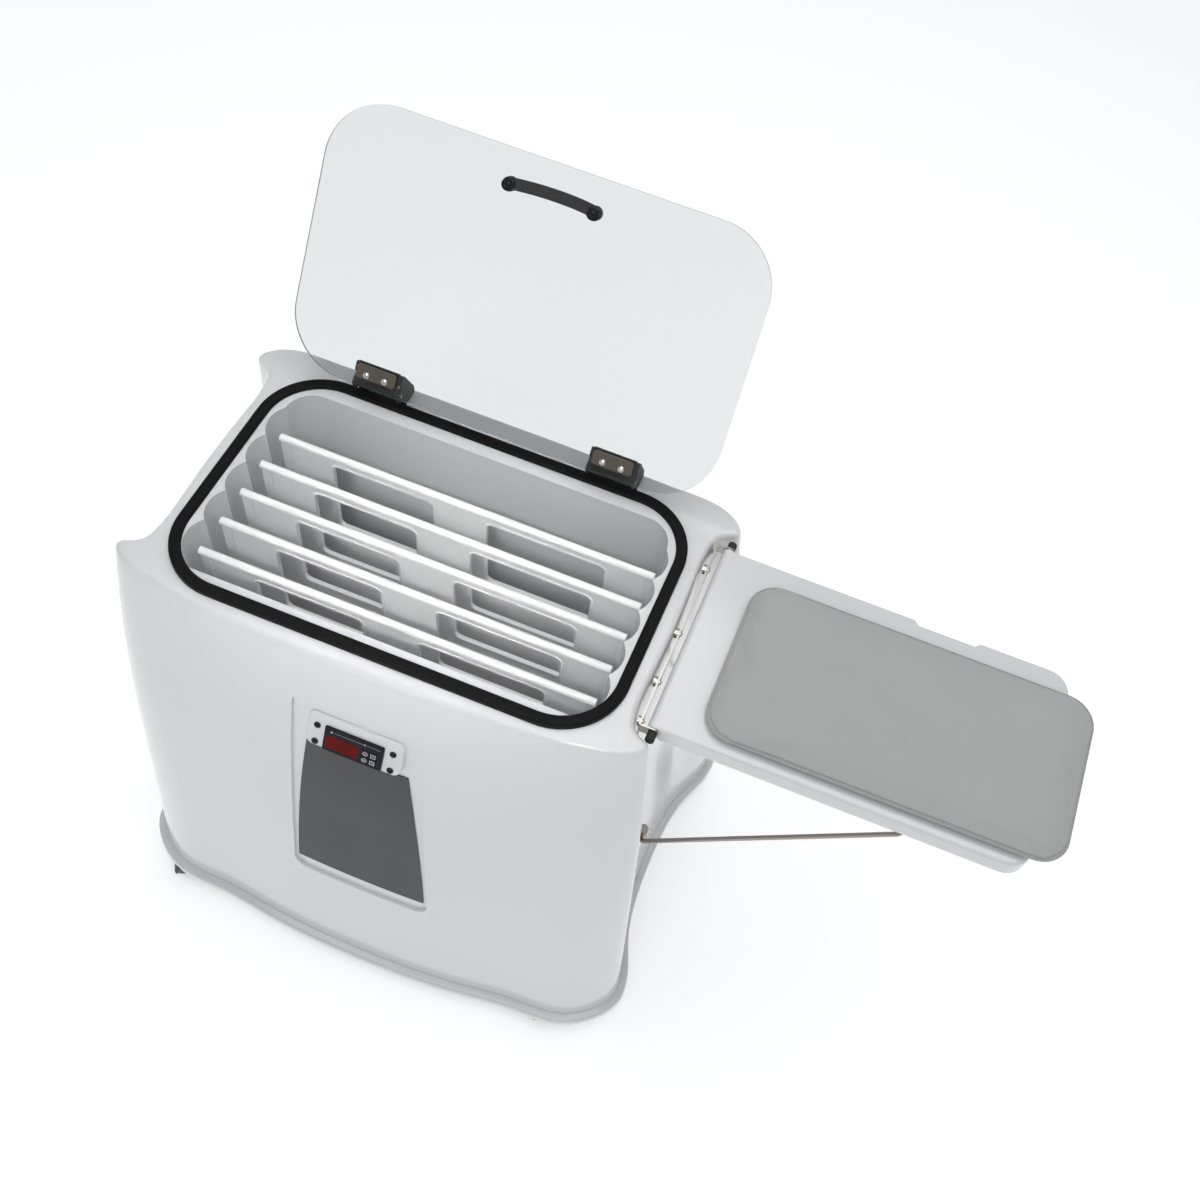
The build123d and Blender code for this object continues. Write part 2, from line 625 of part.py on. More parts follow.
# ------------------------------------------------------------------ racks, stand and heater
def make_rack(index):
    """White moulded divider: bead along the top, two framed windows, a groove near each end."""
    y = RACK_BACK_Y - RACK_PITCH * index
    half = RACK_LENGTH / 2
    thin = RACK_THICKNESS / 2
    rack = box_between((-half, y - thin, RACK_BOTTOM_Z), (half, y + thin, RACK_TOP_Z - RACK_RAIL_RADIUS))
    rail_z = RACK_TOP_Z - RACK_RAIL_RADIUS
    rack += rod((-half, y, rail_z), (half, y, rail_z), RACK_RAIL_RADIUS)
    wide = RACK_RIB / 2
    for left, right in RACK_WINDOWS:
        middle = ((left + right) / 2, (RACK_WINDOW_TOP_Z + RACK_WINDOW_BOTTOM_Z) / 2)
        width = right - left
        height = RACK_WINDOW_TOP_Z - RACK_WINDOW_BOTTOM_Z
        plane = Plane(origin=(middle[0], y + wide, middle[1]), x_dir=(1, 0, 0), z_dir=(0, -1, 0))
        rim = plane * extrude(RectangleRounded(width + RACK_RIB, height + RACK_RIB,
                                               RACK_WINDOW_RADIUS + RACK_RIB / 2), RACK_RIB)
        rack += rim
        rack -= plane * extrude(RectangleRounded(width, height, RACK_WINDOW_RADIUS), RACK_RIB)
    for x in (-RACK_GROOVE_X, RACK_GROOVE_X):
        rack += box_between((x - wide / 2, y - wide, RACK_BOTTOM_Z), (x + wide / 2, y + wide, rail_z))
    return rack


def stand_inset():
    """How far the tank's wall has come in at the stand."""
    return TANK_TAPER * (FLANGE_TOP_Z - STAND_TOP_Z) / (FLANGE_TOP_Z - TANK_FLOOR_Z)


def make_rack_stand():
    """Slotted plate on four legs that keeps the racks above the heater."""
    gap = stand_inset() + STAND_MARGIN
    length = 2 * (RIDGE_HALF_LENGTH - gap)
    depth = TANK_BACK_Y - TANK_FRONT_Y - 2 * gap
    mid_y = (TANK_BACK_Y + TANK_FRONT_Y) / 2
    bottom = STAND_TOP_Z - STAND_THICKNESS
    stand = rounded_plate(length, depth, TANK_FRONT_RADIUS, bottom, STAND_THICKNESS, mid_y=mid_y)
    count = int((length - 2 * STAND_SLOT_PITCH) // STAND_SLOT_PITCH)
    slot_length = depth / 2 - 2 * STAND_SLOT_WIDTH
    for i in range(count):
        x = (i - (count - 1) / 2) * STAND_SLOT_PITCH
        for side in (-1, 1):
            y = mid_y + side * (slot_length / 2 + STAND_SLOT_WIDTH)
            slot = Pos(x, y, bottom) * Rot(0, 0, 90) * SlotOverall(slot_length, STAND_SLOT_WIDTH)
            stand -= extrude(slot, STAND_THICKNESS, dir=(0, 0, 1))
    for sx in (-1, 1):
        for sy in (-1, 1):
            x = sx * (length / 2 - 2 * STAND_LEG_RADIUS)
            y = mid_y + sy * (depth / 2 - 2 * STAND_LEG_RADIUS)
            stand += rod((x, y, TANK_FLOOR_Z), (x, y, bottom), STAND_LEG_RADIUS)
    return stand


def element_lead(x, radius):
    """Straight bar along one cold end of the heater, through the tank's back wall."""
    return rod((x, ELEMENT_HALF_WIDTH, ELEMENT_Z), (x, TANK_BACK_Y + ELEMENT_LEAD, ELEMENT_Z), radius)


def make_heating_element():
    """Bent tubular heater that lies under the stand; its cold ends leave through the back wall."""
    end = TANK_BACK_Y + ELEMENT_LEAD
    a, b = ELEMENT_HALF_LENGTH, ELEMENT_HALF_WIDTH
    corners = [(-ELEMENT_LEAD_X, end), (-ELEMENT_LEAD_X, b), (-a, b), (-a, -b), (a, -b), (a, b),
               (ELEMENT_LEAD_X, b), (ELEMENT_LEAD_X, end)]
    path = FilletPolyline(*[(x, y, ELEMENT_Z) for x, y in corners], radius=ELEMENT_BEND / 2)
    start = Plane(origin=path @ 0, z_dir=path % 0)
    return sweep(start * Circle(ELEMENT_RADIUS), path=path)


def tank_back_y(z):
    """Outside face of the tank's back wall at height z."""
    inset = TANK_TAPER * (DECK_Z - z) / (DECK_Z - TANK_FLOOR_Z + TANK_WALL)
    return TANK_BACK_Y + TANK_WALL - inset


def make_element_nuts():
    """Nuts that clamp the heater's cold ends and the probe to the tank's back wall."""
    nuts = []
    for x in (-ELEMENT_LEAD_X, ELEMENT_LEAD_X):
        y = tank_back_y(ELEMENT_Z + NUT_ACROSS / 2) + PIN_CLEARANCE
        nuts.append(hexagon_nut((x, y, ELEMENT_Z), (0, 1, 0), NUT_ACROSS, NUT_THICKNESS, ELEMENT_RADIUS + PIN_CLEARANCE))
    return Compound(nuts)


def probe_line():
    """Ends of the thermostat's probe, through the tank's back wall."""
    end = TANK_BACK_Y + ELEMENT_LEAD
    return (PROBE_X, end - PROBE_LENGTH, ELEMENT_Z), (PROBE_X, end, ELEMENT_Z)


def make_thermostat_probe():
    """Stainless probe with its own nut."""
    start, end = probe_line()
    probe = rod(start, end, PROBE_RADIUS)
    y = tank_back_y(ELEMENT_Z + NUT_ACROSS / 2) + PIN_CLEARANCE
    return probe + hexagon_nut((PROBE_X, y, ELEMENT_Z), (0, 1, 0), NUT_ACROSS, NUT_THICKNESS)


def make_thermal_cutout():
    """Disc thermostat pressed against the underside of the tank."""
    top = TANK_FLOOR_Z - TANK_WALL
    disc = Pos(0, 0, top - CUTOUT_HEIGHT / 4) * Cylinder(CUTOUT_RADIUS, CUTOUT_HEIGHT / 2)
    stem = Pos(0, 0, top - CUTOUT_HEIGHT * 3 / 4) * Cylinder(CUTOUT_RADIUS * 3 / 4, CUTOUT_HEIGHT / 2)
    return disc + stem


# ------------------------------------------------------------------ thermostat, bezel and panel
def face_plane(behind=0.0):
    """Plane of the thermostat's face: +Z leaves the face, +Y goes up it."""
    tilt = math.radians(FACE_TILT)
    normal = Vector(0, -math.cos(tilt), math.sin(tilt))
    return Plane(origin=Vector(0, FACE_MID_Y, FACE_MID_Z) - normal * behind, x_dir=(1, 0, 0), z_dir=normal)


def thermostat_tunnel():
    """Hole through the bezel and the wall for the thermostat's body."""
    block = Box(BODY_WIDTH + 2 * BODY_CLEARANCE, BODY_HEIGHT + 2 * BODY_CLEARANCE, 2 * BODY_DEPTH)
    return face_plane(FACE_PROUD) * block


def make_control_bezel():
    """Wedge-shaped white housing that turns the thermostat upwards; its back follows the scoop."""
    height = BEZEL_ABOVE + BEZEL_BELOW
    outline = Pos(0, (BEZEL_ABOVE - BEZEL_BELOW) / 2) * RectangleRounded(BEZEL_WIDTH, height, BEZEL_RADIUS)
    bezel = extrude(outline, -BEZEL_DEPTH)
    front = bezel.faces().sort_by(Axis.Z)[-1]
    bezel = face_plane(FACE_PROUD) * fillet(front.edges(), BEZEL_ROUND)
    bezel -= cabinet_loft(wall_levels(SKIRT_Z, DECK_Z - DECK_ROUND, SCOOP_DEPTH - PANEL_GAP))
    bezel -= thermostat_tunnel()
    for x, z in bezel_screw_places():
        bezel -= face_plane(FACE_PROUD) * (Pos(x, z, 0) * Cylinder(SCREW_RADIUS, 2 * BEZEL_SCREW_DEPTH))
    return bezel


def bezel_screw_places():
    """Screws at the bezel's sides, in the face's own plane."""
    return [(sx * BEZEL_SCREW_X, sz * BEZEL_SCREW_Z) for sx in (-1, 1) for sz in (-1, 1)]


def make_bezel_screws():
    """Four black dome-headed screws."""
    plane = face_plane(FACE_PROUD)
    screw = round_screw((0, 0, 0), (0, 0, 1), BEZEL_SCREW_HEAD, SCREW_HEAD_HEIGHT, BEZEL_SCREW_DEPTH)
    return Compound([plane * (Pos(x, z, 0) * screw) for x, z in bezel_screw_places()])


def key_places():
    """Middles of the four keys, in the face's own plane."""
    return [(KEY_MID_X + sx * KEY_PITCH_X / 2, KEY_MID_Z + sz * KEY_PITCH_Z / 2) for sz in (1, -1) for sx in (-1, 1)]


def make_thermostat_body():
    """Panel thermostat: rim in front of the bezel, body behind it, pockets for display and keys."""
    body = Pos(0, 0, -FACE_PROUD - BODY_DEPTH / 2) * Box(BODY_WIDTH, BODY_HEIGHT, BODY_DEPTH)
    rim = extrude(RectangleRounded(FACE_WIDTH, FACE_HEIGHT, 2 * KEY_PROUD), -FACE_PROUD)
    rim = chamfer(rim.faces().sort_by(Axis.Z)[-1].edges(), KEY_PROUD / 2)
    body += rim
    body -= Pos(DISPLAY_X, DISPLAY_Z, 0) * Box(DISPLAY_WIDTH, DISPLAY_HEIGHT, 2 * DISPLAY_DEPTH)
    for x, z in key_places():
        body -= Pos(x, z, 0) * Box(KEY_WIDTH + 2 * KEY_CLEARANCE, KEY_HEIGHT + 2 * KEY_CLEARANCE, 2 * KEY_WELL)
    return face_plane() * body


def make_display_window():
    """Dark red window over the digits, flush with the face."""
    window = extrude(RectangleRounded(DISPLAY_WIDTH - KEY_CLEARANCE, DISPLAY_HEIGHT - KEY_CLEARANCE, KEY_PROUD),
                     -DISPLAY_DEPTH)
    return face_plane() * (Pos(DISPLAY_X, DISPLAY_Z, 0) * window)


def make_key(x, z):
    """One key of the keypad, which travels into its well."""
    cap = extrude(RectangleRounded(KEY_WIDTH, KEY_HEIGHT, 2 * KEY_PROUD), KEY_THICKNESS)
    cap = fillet(cap.faces().sort_by(Axis.Z)[-1].edges(), KEY_PROUD / 2)
    return face_plane(KEY_THICKNESS - KEY_PROUD) * (Pos(x, z, 0) * cap)


def make_front_panel():
    """Thin dark cover plate with bulging sides, glued into the scoop."""
    top, bottom = PANEL_TOP_Z, PANEL_BOTTOM_Z
    a, b = PANEL_TOP_HALF, PANEL_BOTTOM_HALF
    middle = ((a + b) / 2 + PANEL_BULGE, (top + bottom) / 2)
    outline = make_face([
        Line((-a, top), (a, top)),
        ThreePointArc((a, top), middle, (b, bottom)),
        Line((b, bottom), (-b, bottom)),
        ThreePointArc((-b, bottom), (-middle[0], middle[1]), (-a, top)),
    ])
    prism = extrude(Plane.XZ * outline, -front_y(SKIRT_TOP_Z) + SKIRT_PROUD, dir=(0, -1, 0))
    back = SCOOP_DEPTH - PANEL_GAP
    skin = cabinet_loft(wall_levels(SKIRT_Z, DECK_Z - DECK_ROUND, back - PANEL_THICKNESS))
    skin -= cabinet_loft(wall_levels(SKIRT_Z, DECK_Z - DECK_ROUND, back))
    return prism & skin


# ------------------------------------------------------------------ lid, drawn closed and then opened
GLASS_Z = GASKET_TOP_Z + LID_GAP
GLASS_TOP_Z = GLASS_Z + GLASS_THICKNESS
HANDLE_Y = PIVOT_Y - HANDLE_INSET


def opened(shape):
    """Swing a piece of the closed lid to the open stop."""
    return shape.rotate(Axis((0, PIVOT_Y, PIVOT_Z), (1, 0, 0)), -LID_OPEN)


def clamp_screw_places():
    """The four clamp screws, as (x, y) on the closed lid."""
    places = []
    for side in (-1, 1):
        for step in (-0.5, 0.5):
            places.append((side * HINGE_MID_X + step * CLAMP_SCREW_SPACING, PIVOT_Y - CLAMP_SCREW_INSET))
    return places


def make_lid_glass():
    """Tempered glass pane with rounded corners and drilled holes."""
    middle = PIVOT_Y - GLASS_DEPTH / 2
    glass = rounded_plate(GLASS_LENGTH, GLASS_DEPTH, GLASS_RADIUS, GLASS_Z, GLASS_THICKNESS, mid_y=middle)
    holes = clamp_screw_places() + [(-HANDLE_SPACING / 2, HANDLE_Y), (HANDLE_SPACING / 2, HANDLE_Y)]
    for x, y in holes:
        glass -= rod((x, y, GLASS_Z), (x, y, GLASS_TOP_Z), SCREW_RADIUS + GLASS_HOLE_CLEARANCE)
    return opened(glass)


def make_hinge_leaf():
    """Black leaf of the right hinge: pad on the glass, web and barrel round the pin."""
    top = GLASS_TOP_Z + LEAF_THICKNESS
    profile = Polygon((PIVOT_Y - LEAF_LENGTH, GLASS_TOP_Z), (PIVOT_Y, GLASS_TOP_Z), (PIVOT_Y, PIVOT_Z),
                      (PIVOT_Y - BARREL_RADIUS, PIVOT_Z), (PIVOT_Y - 2 * BARREL_RADIUS, top),
                      (PIVOT_Y - LEAF_LENGTH, top), align=None)
    profile += Pos(PIVOT_Y, PIVOT_Z) * Circle(BARREL_RADIUS)
    profile -= Pos(PIVOT_Y, PIVOT_Z) * Circle(PIN_RADIUS + PIN_CLEARANCE)
    width = HINGE_WIDTH - 2 * (HINGE_CHEEK + HINGE_SIDE_GAP)
    leaf = extrude(Plane.YZ * profile, width, dir=(1, 0, 0))
    leaf = Pos(HINGE_MID_X - width / 2, 0, 0) * leaf
    for x, y in clamp_screw_places()[2:]:
        leaf -= rod((x, y, GLASS_TOP_Z), (x, y, PIVOT_Z), SCREW_RADIUS + PIN_CLEARANCE)
    return opened(leaf)


def make_hinge_base():
    """Black base of the right hinge: foot on the deck, two cheeks round the leaf and a stop behind it."""
    low = PIVOT_Y - STOP_START - STOP_LENGTH
    high = PIVOT_Y - STOP_START
    near = GLASS_TOP_Z + LEAF_THICKNESS + LID_GAP
    far = near + STOP_THICKNESS
    left = HINGE_MID_X - HINGE_WIDTH / 2
    stop = opened(box_between((left, low, near), (left + HINGE_WIDTH, high, far)))
    corners = stop.faces().sort_by(Axis.X)[0].vertices()
    ys = sorted(corners, key=lambda v: v.Z)
    lowest, upper = ys[0], sorted(ys[2:], key=lambda v: v.Y)
    back = BASE_FRONT_Y + BASE_DEPTH
    cheek = Polygon((BASE_FRONT_Y, DECK_Z), (back, DECK_Z), (back, DECK_Z + 2 * BASE_THICKNESS),
                    (upper[1].Y, upper[1].Z), (upper[0].Y, upper[0].Z), (lowest.Y, lowest.Z),
                    (PIVOT_Y - CHEEK_RADIUS, PIVOT_Z), (PIVOT_Y, PIVOT_Z - CHEEK_RADIUS),
                    (BASE_FRONT_Y, PIVOT_Z - CHEEK_RADIUS), align=None)
    cheek += Pos(PIVOT_Y, PIVOT_Z) * Circle(CHEEK_RADIUS)
    cheek -= Pos(PIVOT_Y, PIVOT_Z) * Circle(PIN_RADIUS + PIN_CLEARANCE)
    wall = extrude(Plane.YZ * cheek, HINGE_CHEEK, dir=(1, 0, 0))
    base = Pos(left, 0, 0) * wall + Pos(left + HINGE_WIDTH - HINGE_CHEEK, 0, 0) * wall + stop
    base += box_between((left, BASE_FRONT_Y, DECK_Z), (left + HINGE_WIDTH, back, DECK_Z + BASE_THICKNESS))
    for x, y in base_screw_places():
        base -= rod((x, y, DECK_Z), (x, y, DECK_Z + BASE_THICKNESS), SCREW_RADIUS)
    return base


def base_screw_places():
    """Two screws in the right hinge's foot."""
    y = BASE_FRONT_Y + BASE_DEPTH * 2 / 3
    return [(HINGE_MID_X - CLAMP_SCREW_SPACING / 2, y), (HINGE_MID_X + CLAMP_SCREW_SPACING / 2, y)]


def make_hinge_base_screws():
    """Screws that hold both hinge bases to the deck."""
    screws = []
    for x, y in base_screw_places():
        for side in (-1, 1):
            screws.append(round_screw((side * x, y, DECK_Z + BASE_THICKNESS), (0, 0, 1), SCREW_HEAD_RADIUS,
                                      SCREW_HEAD_HEIGHT, BASE_THICKNESS))
    return Compound(screws)


def make_hinge_pins():
    """Pins through the cheeks of both hinges."""
    pins = []
    for side in (-1, 1):
        middle = side * HINGE_MID_X
        pins.append(rod((middle - HINGE_WIDTH / 2, PIVOT_Y, PIVOT_Z), (middle + HINGE_WIDTH / 2, PIVOT_Y, PIVOT_Z),
                        PIN_RADIUS))
    return Compound(pins)


def make_clamp_plate():
    """Metal plate under the glass of the right hinge."""
    y = PIVOT_Y - CLAMP_START - CLAMP_DEPTH / 2
    plate = rounded_plate(CLAMP_WIDTH, CLAMP_DEPTH, 2 * CLAMP_THICKNESS, GLASS_Z - CLAMP_THICKNESS,
                          CLAMP_THICKNESS, mid_x=HINGE_MID_X, mid_y=y)
    for x, y in clamp_screw_places()[2:]:
        plate -= rod((x, y, GLASS_Z - CLAMP_THICKNESS), (x, y, GLASS_Z), SCREW_RADIUS)
    return opened(plate)


def make_clamp_screws():
    """Four screws through plate, glass and leaf."""
    shank = CLAMP_THICKNESS + GLASS_THICKNESS + LEAF_THICKNESS
    screws = [round_screw((x, y, GLASS_Z - CLAMP_THICKNESS), (0, 0, -1), SCREW_HEAD_RADIUS, SCREW_HEAD_HEIGHT, shank)
              for x, y in clamp_screw_places()]
    return Compound([opened(screw) for screw in screws])


def make_lid_handle():
    """Bowed black strap on two round feet."""
    half = HANDLE_SPACING / 2
    foot_z = GLASS_TOP_Z + HANDLE_FOOT_HEIGHT
    top = GLASS_TOP_Z + HANDLE_RISE
    outer = ThreePointArc((-half - HANDLE_STRAP, foot_z), (0, top), (half + HANDLE_STRAP, foot_z))
    inner = ThreePointArc((half, foot_z), (0, top - HANDLE_STRAP), (-half, foot_z))
    profile = make_face([outer, Line(outer @ 1, inner @ 0), inner, Line(inner @ 1, outer @ 0)])
    strap = extrude(Plane.XZ * profile, HANDLE_WIDTH, dir=(0, -1, 0))
    handle = Pos(0, HANDLE_Y + HANDLE_WIDTH / 2, 0) * strap
    for x in (-half, half):
        handle += rod((x, HANDLE_Y, GLASS_TOP_Z), (x, HANDLE_Y, foot_z + HANDLE_STRAP / 2), HANDLE_FOOT_RADIUS)
        handle -= rod((x, HANDLE_Y, GLASS_TOP_Z), (x, HANDLE_Y, foot_z), SCREW_RADIUS)
    return opened(handle)


def make_handle_screws():
    """Screws with wide washers under the glass, which hold the handle."""
    pieces = []
    for x in (-HANDLE_SPACING / 2, HANDLE_SPACING / 2):
        under = GLASS_Z - CLAMP_THICKNESS
        washer = rod((x, HANDLE_Y, under), (x, HANDLE_Y, GLASS_Z), HANDLE_WASHER_RADIUS)
        shank = CLAMP_THICKNESS + GLASS_THICKNESS + HANDLE_FOOT_HEIGHT
        screw = round_screw((x, HANDLE_Y, under), (0, 0, -1), SCREW_HEAD_RADIUS, SCREW_HEAD_HEIGHT, shank)
        pieces.append(opened(washer + screw))
    return Compound(pieces)


# ------------------------------------------------------------------ side shelf
SHELF_TOP_Z = SHELF_AXIS_Z + SHELF_NOSE
SHELF_UNDER_Z = SHELF_TOP_Z - SHELF_DEPTH
STRUT_TOP_Z = SHELF_UNDER_Z - SEAT_GAP - STRUT_RADIUS


def make_side_shelf():
    """White moulded shelf: rounded hinge edge, rounded outer corners, ribbed hollow underside."""
    reach = SHELF_END_X - SHELF_AXIS_X
    depth = SHELF_BACK_Y - SHELF_FRONT_Y
    plan = Polygon((SHELF_AXIS_X, SHELF_FRONT_Y), (SHELF_END_X, SHELF_FRONT_Y), (SHELF_END_X, SHELF_BACK_Y),
                   (NOTCH_TO_X + NOTCH_DEPTH, SHELF_BACK_Y), (NOTCH_TO_X, SHELF_BACK_Y - NOTCH_DEPTH),
                   (NOTCH_FROM_X, SHELF_BACK_Y - NOTCH_DEPTH), (NOTCH_FROM_X - NOTCH_DEPTH, SHELF_BACK_Y),
                   (SHELF_AXIS_X, SHELF_BACK_Y), align=None)
    plan = fillet(plan.vertices().group_by(Axis.X)[-1], SHELF_CORNER)
    slab = Pos(0, 0, SHELF_UNDER_Z) * extrude(plan, SHELF_DEPTH, dir=(0, 0, 1))
    rims = [e for e in slab.faces().sort_by(Axis.Z)[-1].edges() if e.center().X > SHELF_AXIS_X + SHELF_SKIN]
    slab = fillet(rims, SHELF_EDGE_ROUND)
    heel = slab.edges().filter_by(Axis.Y).sort_by(lambda e: e.center().X + e.center().Z)[0]
    slab = chamfer(heel, SHELF_HEEL)
    shelf = slab + rod((SHELF_AXIS_X, SHELF_FRONT_Y, SHELF_AXIS_Z), (SHELF_AXIS_X, SHELF_BACK_Y, SHELF_AXIS_Z), SHELF_NOSE)
    start = SHELF_AXIS_X + SHELF_HUB_WIDTH
    pocket_length = SHELF_END_X - SHELF_SKIN - start
    pocket = rounded_plate(pocket_length, depth - 2 * SHELF_SKIN - 2 * NOTCH_DEPTH, SHELF_CORNER - SHELF_SKIN,
                           SHELF_UNDER_Z, SHELF_DEPTH - SHELF_SKIN, mid_x=start + pocket_length / 2,
                           mid_y=(SHELF_FRONT_Y + SHELF_BACK_Y) / 2)
    for i in range(SHELF_RIBS):
        x = SHELF_AXIS_X + reach * (i + 1) / (SHELF_RIBS + 1)
        pocket -= Pos(x, SIDE_MID_Y, SHELF_UNDER_Z) * Box(SHELF_RIB_WIDTH, 2 * depth, 2 * SHELF_DEPTH)
    for y in (SIDE_MID_Y - depth / 5, SIDE_MID_Y + depth / 5):
        pocket -= Pos(start, y, SHELF_UNDER_Z) * Box(2 * reach, SHELF_RIB_WIDTH, 2 * SHELF_DEPTH)
    pad = STRUT_RADIUS + CATCH_GAP + CATCH_WIDTH + SHELF_SKIN
    pocket -= Pos(STRUT_TOP_X, SIDE_MID_Y, SHELF_UNDER_Z) * Box(2 * pad, 2 * depth, 2 * SHELF_DEPTH)
    shelf -= pocket
    catch_x = STRUT_TOP_X + STRUT_RADIUS + CATCH_GAP + CATCH_WIDTH / 2
    catch = Pos(catch_x, SIDE_MID_Y, SHELF_UNDER_Z - CATCH_DEPTH / 2) * Box(CATCH_WIDTH, depth / 2, CATCH_DEPTH)
    shelf += catch
    bore = ROD_RADIUS + ROD_CLEARANCE
    return shelf - rod((SHELF_AXIS_X, SHELF_FRONT_Y, SHELF_AXIS_Z), (SHELF_AXIS_X, SHELF_BACK_Y, SHELF_AXIS_Z), bore)


def rail_back():
    """Inner face of the rail: clear of the wall at the rail's ends, where the recess closes in."""
    return wall_x(RAIL_BOTTOM_Z, RAIL_FRONT_Y) + RAIL_WALL_GAP


def dimple_x(y):
    """Where a pressed dimple of the rail meets the side wall."""
    return wall_x((RAIL_TOP_Z + RAIL_BOTTOM_Z) / 2 - RAIL_DIMPLE, y) + RAIL_WALL_GAP


def make_shelf_rail():
    """Steel rail on the side wall: slotted strip with a lug at each end for the rod."""
    back = rail_back()
    strip = box_between((back, RAIL_FRONT_Y, RAIL_BOTTOM_Z), (back + RAIL_THICKNESS, RAIL_BACK_Y, RAIL_TOP_Z))
    middle_z = (RAIL_TOP_Z + RAIL_BOTTOM_Z) / 2
    for y in RAIL_SLOT_YS:
        strip += rod((dimple_x(y), y, middle_z), (back, y, middle_z), RAIL_DIMPLE)
        slot = Plane(origin=(dimple_x(y), y, middle_z), x_dir=(0, 1, 0), z_dir=(1, 0, 0))
        strip -= slot * extrude(SlotOverall(RAIL_SLOT_LENGTH, RAIL_SLOT_WIDTH), back + RAIL_THICKNESS - dimple_x(y))
    half = LUG_HEIGHT / 2
    for y in (RAIL_FRONT_Y, RAIL_BACK_Y - RAIL_THICKNESS):
        lug = box_between((back, y, SHELF_AXIS_Z - half), (SHELF_AXIS_X, y + RAIL_THICKNESS, SHELF_AXIS_Z + half))
        lug += rod((SHELF_AXIS_X, y, SHELF_AXIS_Z), (SHELF_AXIS_X, y + RAIL_THICKNESS, SHELF_AXIS_Z), half)
        strip += lug
    strip -= wall_block(RAIL_BOTTOM_Z - LUG_HEIGHT, RAIL_TOP_Z, RAIL_WALL_GAP)
    return strip - rod((SHELF_AXIS_X, RAIL_FRONT_Y, SHELF_AXIS_Z), (SHELF_AXIS_X, RAIL_BACK_Y, SHELF_AXIS_Z),
                       ROD_RADIUS + ROD_CLEARANCE)


def make_rail_screws():
    """Screws through the rail's slots."""
    face = rail_back() + RAIL_THICKNESS
    middle_z = (RAIL_TOP_Z + RAIL_BOTTOM_Z) / 2
    wall = wall_block(RAIL_BOTTOM_Z, RAIL_TOP_Z, RAIL_WALL_GAP)
    return Compound([round_screw((face, y, middle_z), (1, 0, 0), SCREW_HEAD_RADIUS, SCREW_HEAD_HEIGHT,
                                 face - dimple_x(y)) - wall for y in RAIL_SLOT_YS])


def make_shelf_hinge_rod():
    """Rod through both lugs and the shelf's rounded edge."""
    reach = CAP_LENGTH
    return rod((SHELF_AXIS_X, RAIL_FRONT_Y - reach, SHELF_AXIS_Z), (SHELF_AXIS_X, RAIL_BACK_Y + reach, SHELF_AXIS_Z),
               ROD_RADIUS)


def make_rod_caps():
    """Black push-on caps outside the lugs."""
    caps = []
    for y, side in ((RAIL_FRONT_Y, -1), (RAIL_BACK_Y, 1)):
        start = y + side * CAP_GAP
        plane = Plane(origin=(SHELF_AXIS_X, start, SHELF_AXIS_Z), z_dir=(0, side, 0))
        cap = extrude(Circle(CAP_RADIUS), CAP_LENGTH + STRUT_RADIUS)
        cap = fillet(cap.faces().sort_by(Axis.Z)[-1].edges(), CAP_RADIUS / 2)
        cap -= extrude(Circle(ROD_RADIUS + ROD_CLEARANCE), CAP_LENGTH)
        caps.append(plane * cap)
    return Compound(caps)


def strut_leg_ys():
    """The strut's legs run just inside the shelf's edges."""
    inset = STRUT_LEG_INSET
    return SHELF_FRONT_Y + inset, SHELF_BACK_Y - inset


def make_shelf_strut():
    """Bent wire: pins in the wall brackets, two legs and a cross bar under the shelf."""
    front, back = strut_leg_ys()
    points = [(STRUT_PIVOT_X, front + STRUT_PIN, STRUT_PIVOT_Z), (STRUT_PIVOT_X, front, STRUT_PIVOT_Z),
              (STRUT_TOP_X, front, STRUT_TOP_Z), (STRUT_TOP_X, back, STRUT_TOP_Z),
              (STRUT_PIVOT_X, back, STRUT_PIVOT_Z), (STRUT_PIVOT_X, back - STRUT_PIN, STRUT_PIVOT_Z)]
    path = FilletPolyline(*points, radius=STRUT_BEND)
    return sweep(Plane(origin=path @ 0, z_dir=path % 0) * Circle(STRUT_RADIUS), path=path)


def make_strut_brackets():
    """Ears on the side wall that hold the strut's pins."""
    front, back = strut_leg_ys()
    wall = wall_block(STRUT_PIVOT_Z - BRACKET_HEIGHT, STRUT_PIVOT_Z + BRACKET_HEIGHT, BRACKET_GAP)
    ears = []
    for y in (front + STRUT_BEND, back - STRUT_BEND - BRACKET_WIDTH):
        start = wall_x(STRUT_PIVOT_Z, SIDE_MID_Y) - BRACKET_RADIUS
        outline = Polygon((start, STRUT_PIVOT_Z - BRACKET_HEIGHT / 2),
                          (STRUT_PIVOT_X, STRUT_PIVOT_Z - BRACKET_RADIUS),
                          (STRUT_PIVOT_X, STRUT_PIVOT_Z + BRACKET_RADIUS),
                          (start, STRUT_PIVOT_Z + BRACKET_HEIGHT / 2), align=None)
        outline += Pos(STRUT_PIVOT_X, STRUT_PIVOT_Z) * Circle(BRACKET_RADIUS)
        outline -= Pos(STRUT_PIVOT_X, STRUT_PIVOT_Z) * Circle(STRUT_RADIUS + ROD_CLEARANCE)
        ear = Pos(0, y + BRACKET_WIDTH, 0) * extrude(Plane.XZ * outline, BRACKET_WIDTH, dir=(0, -1, 0))
        ears.append(ear - wall)
    return Compound(ears)


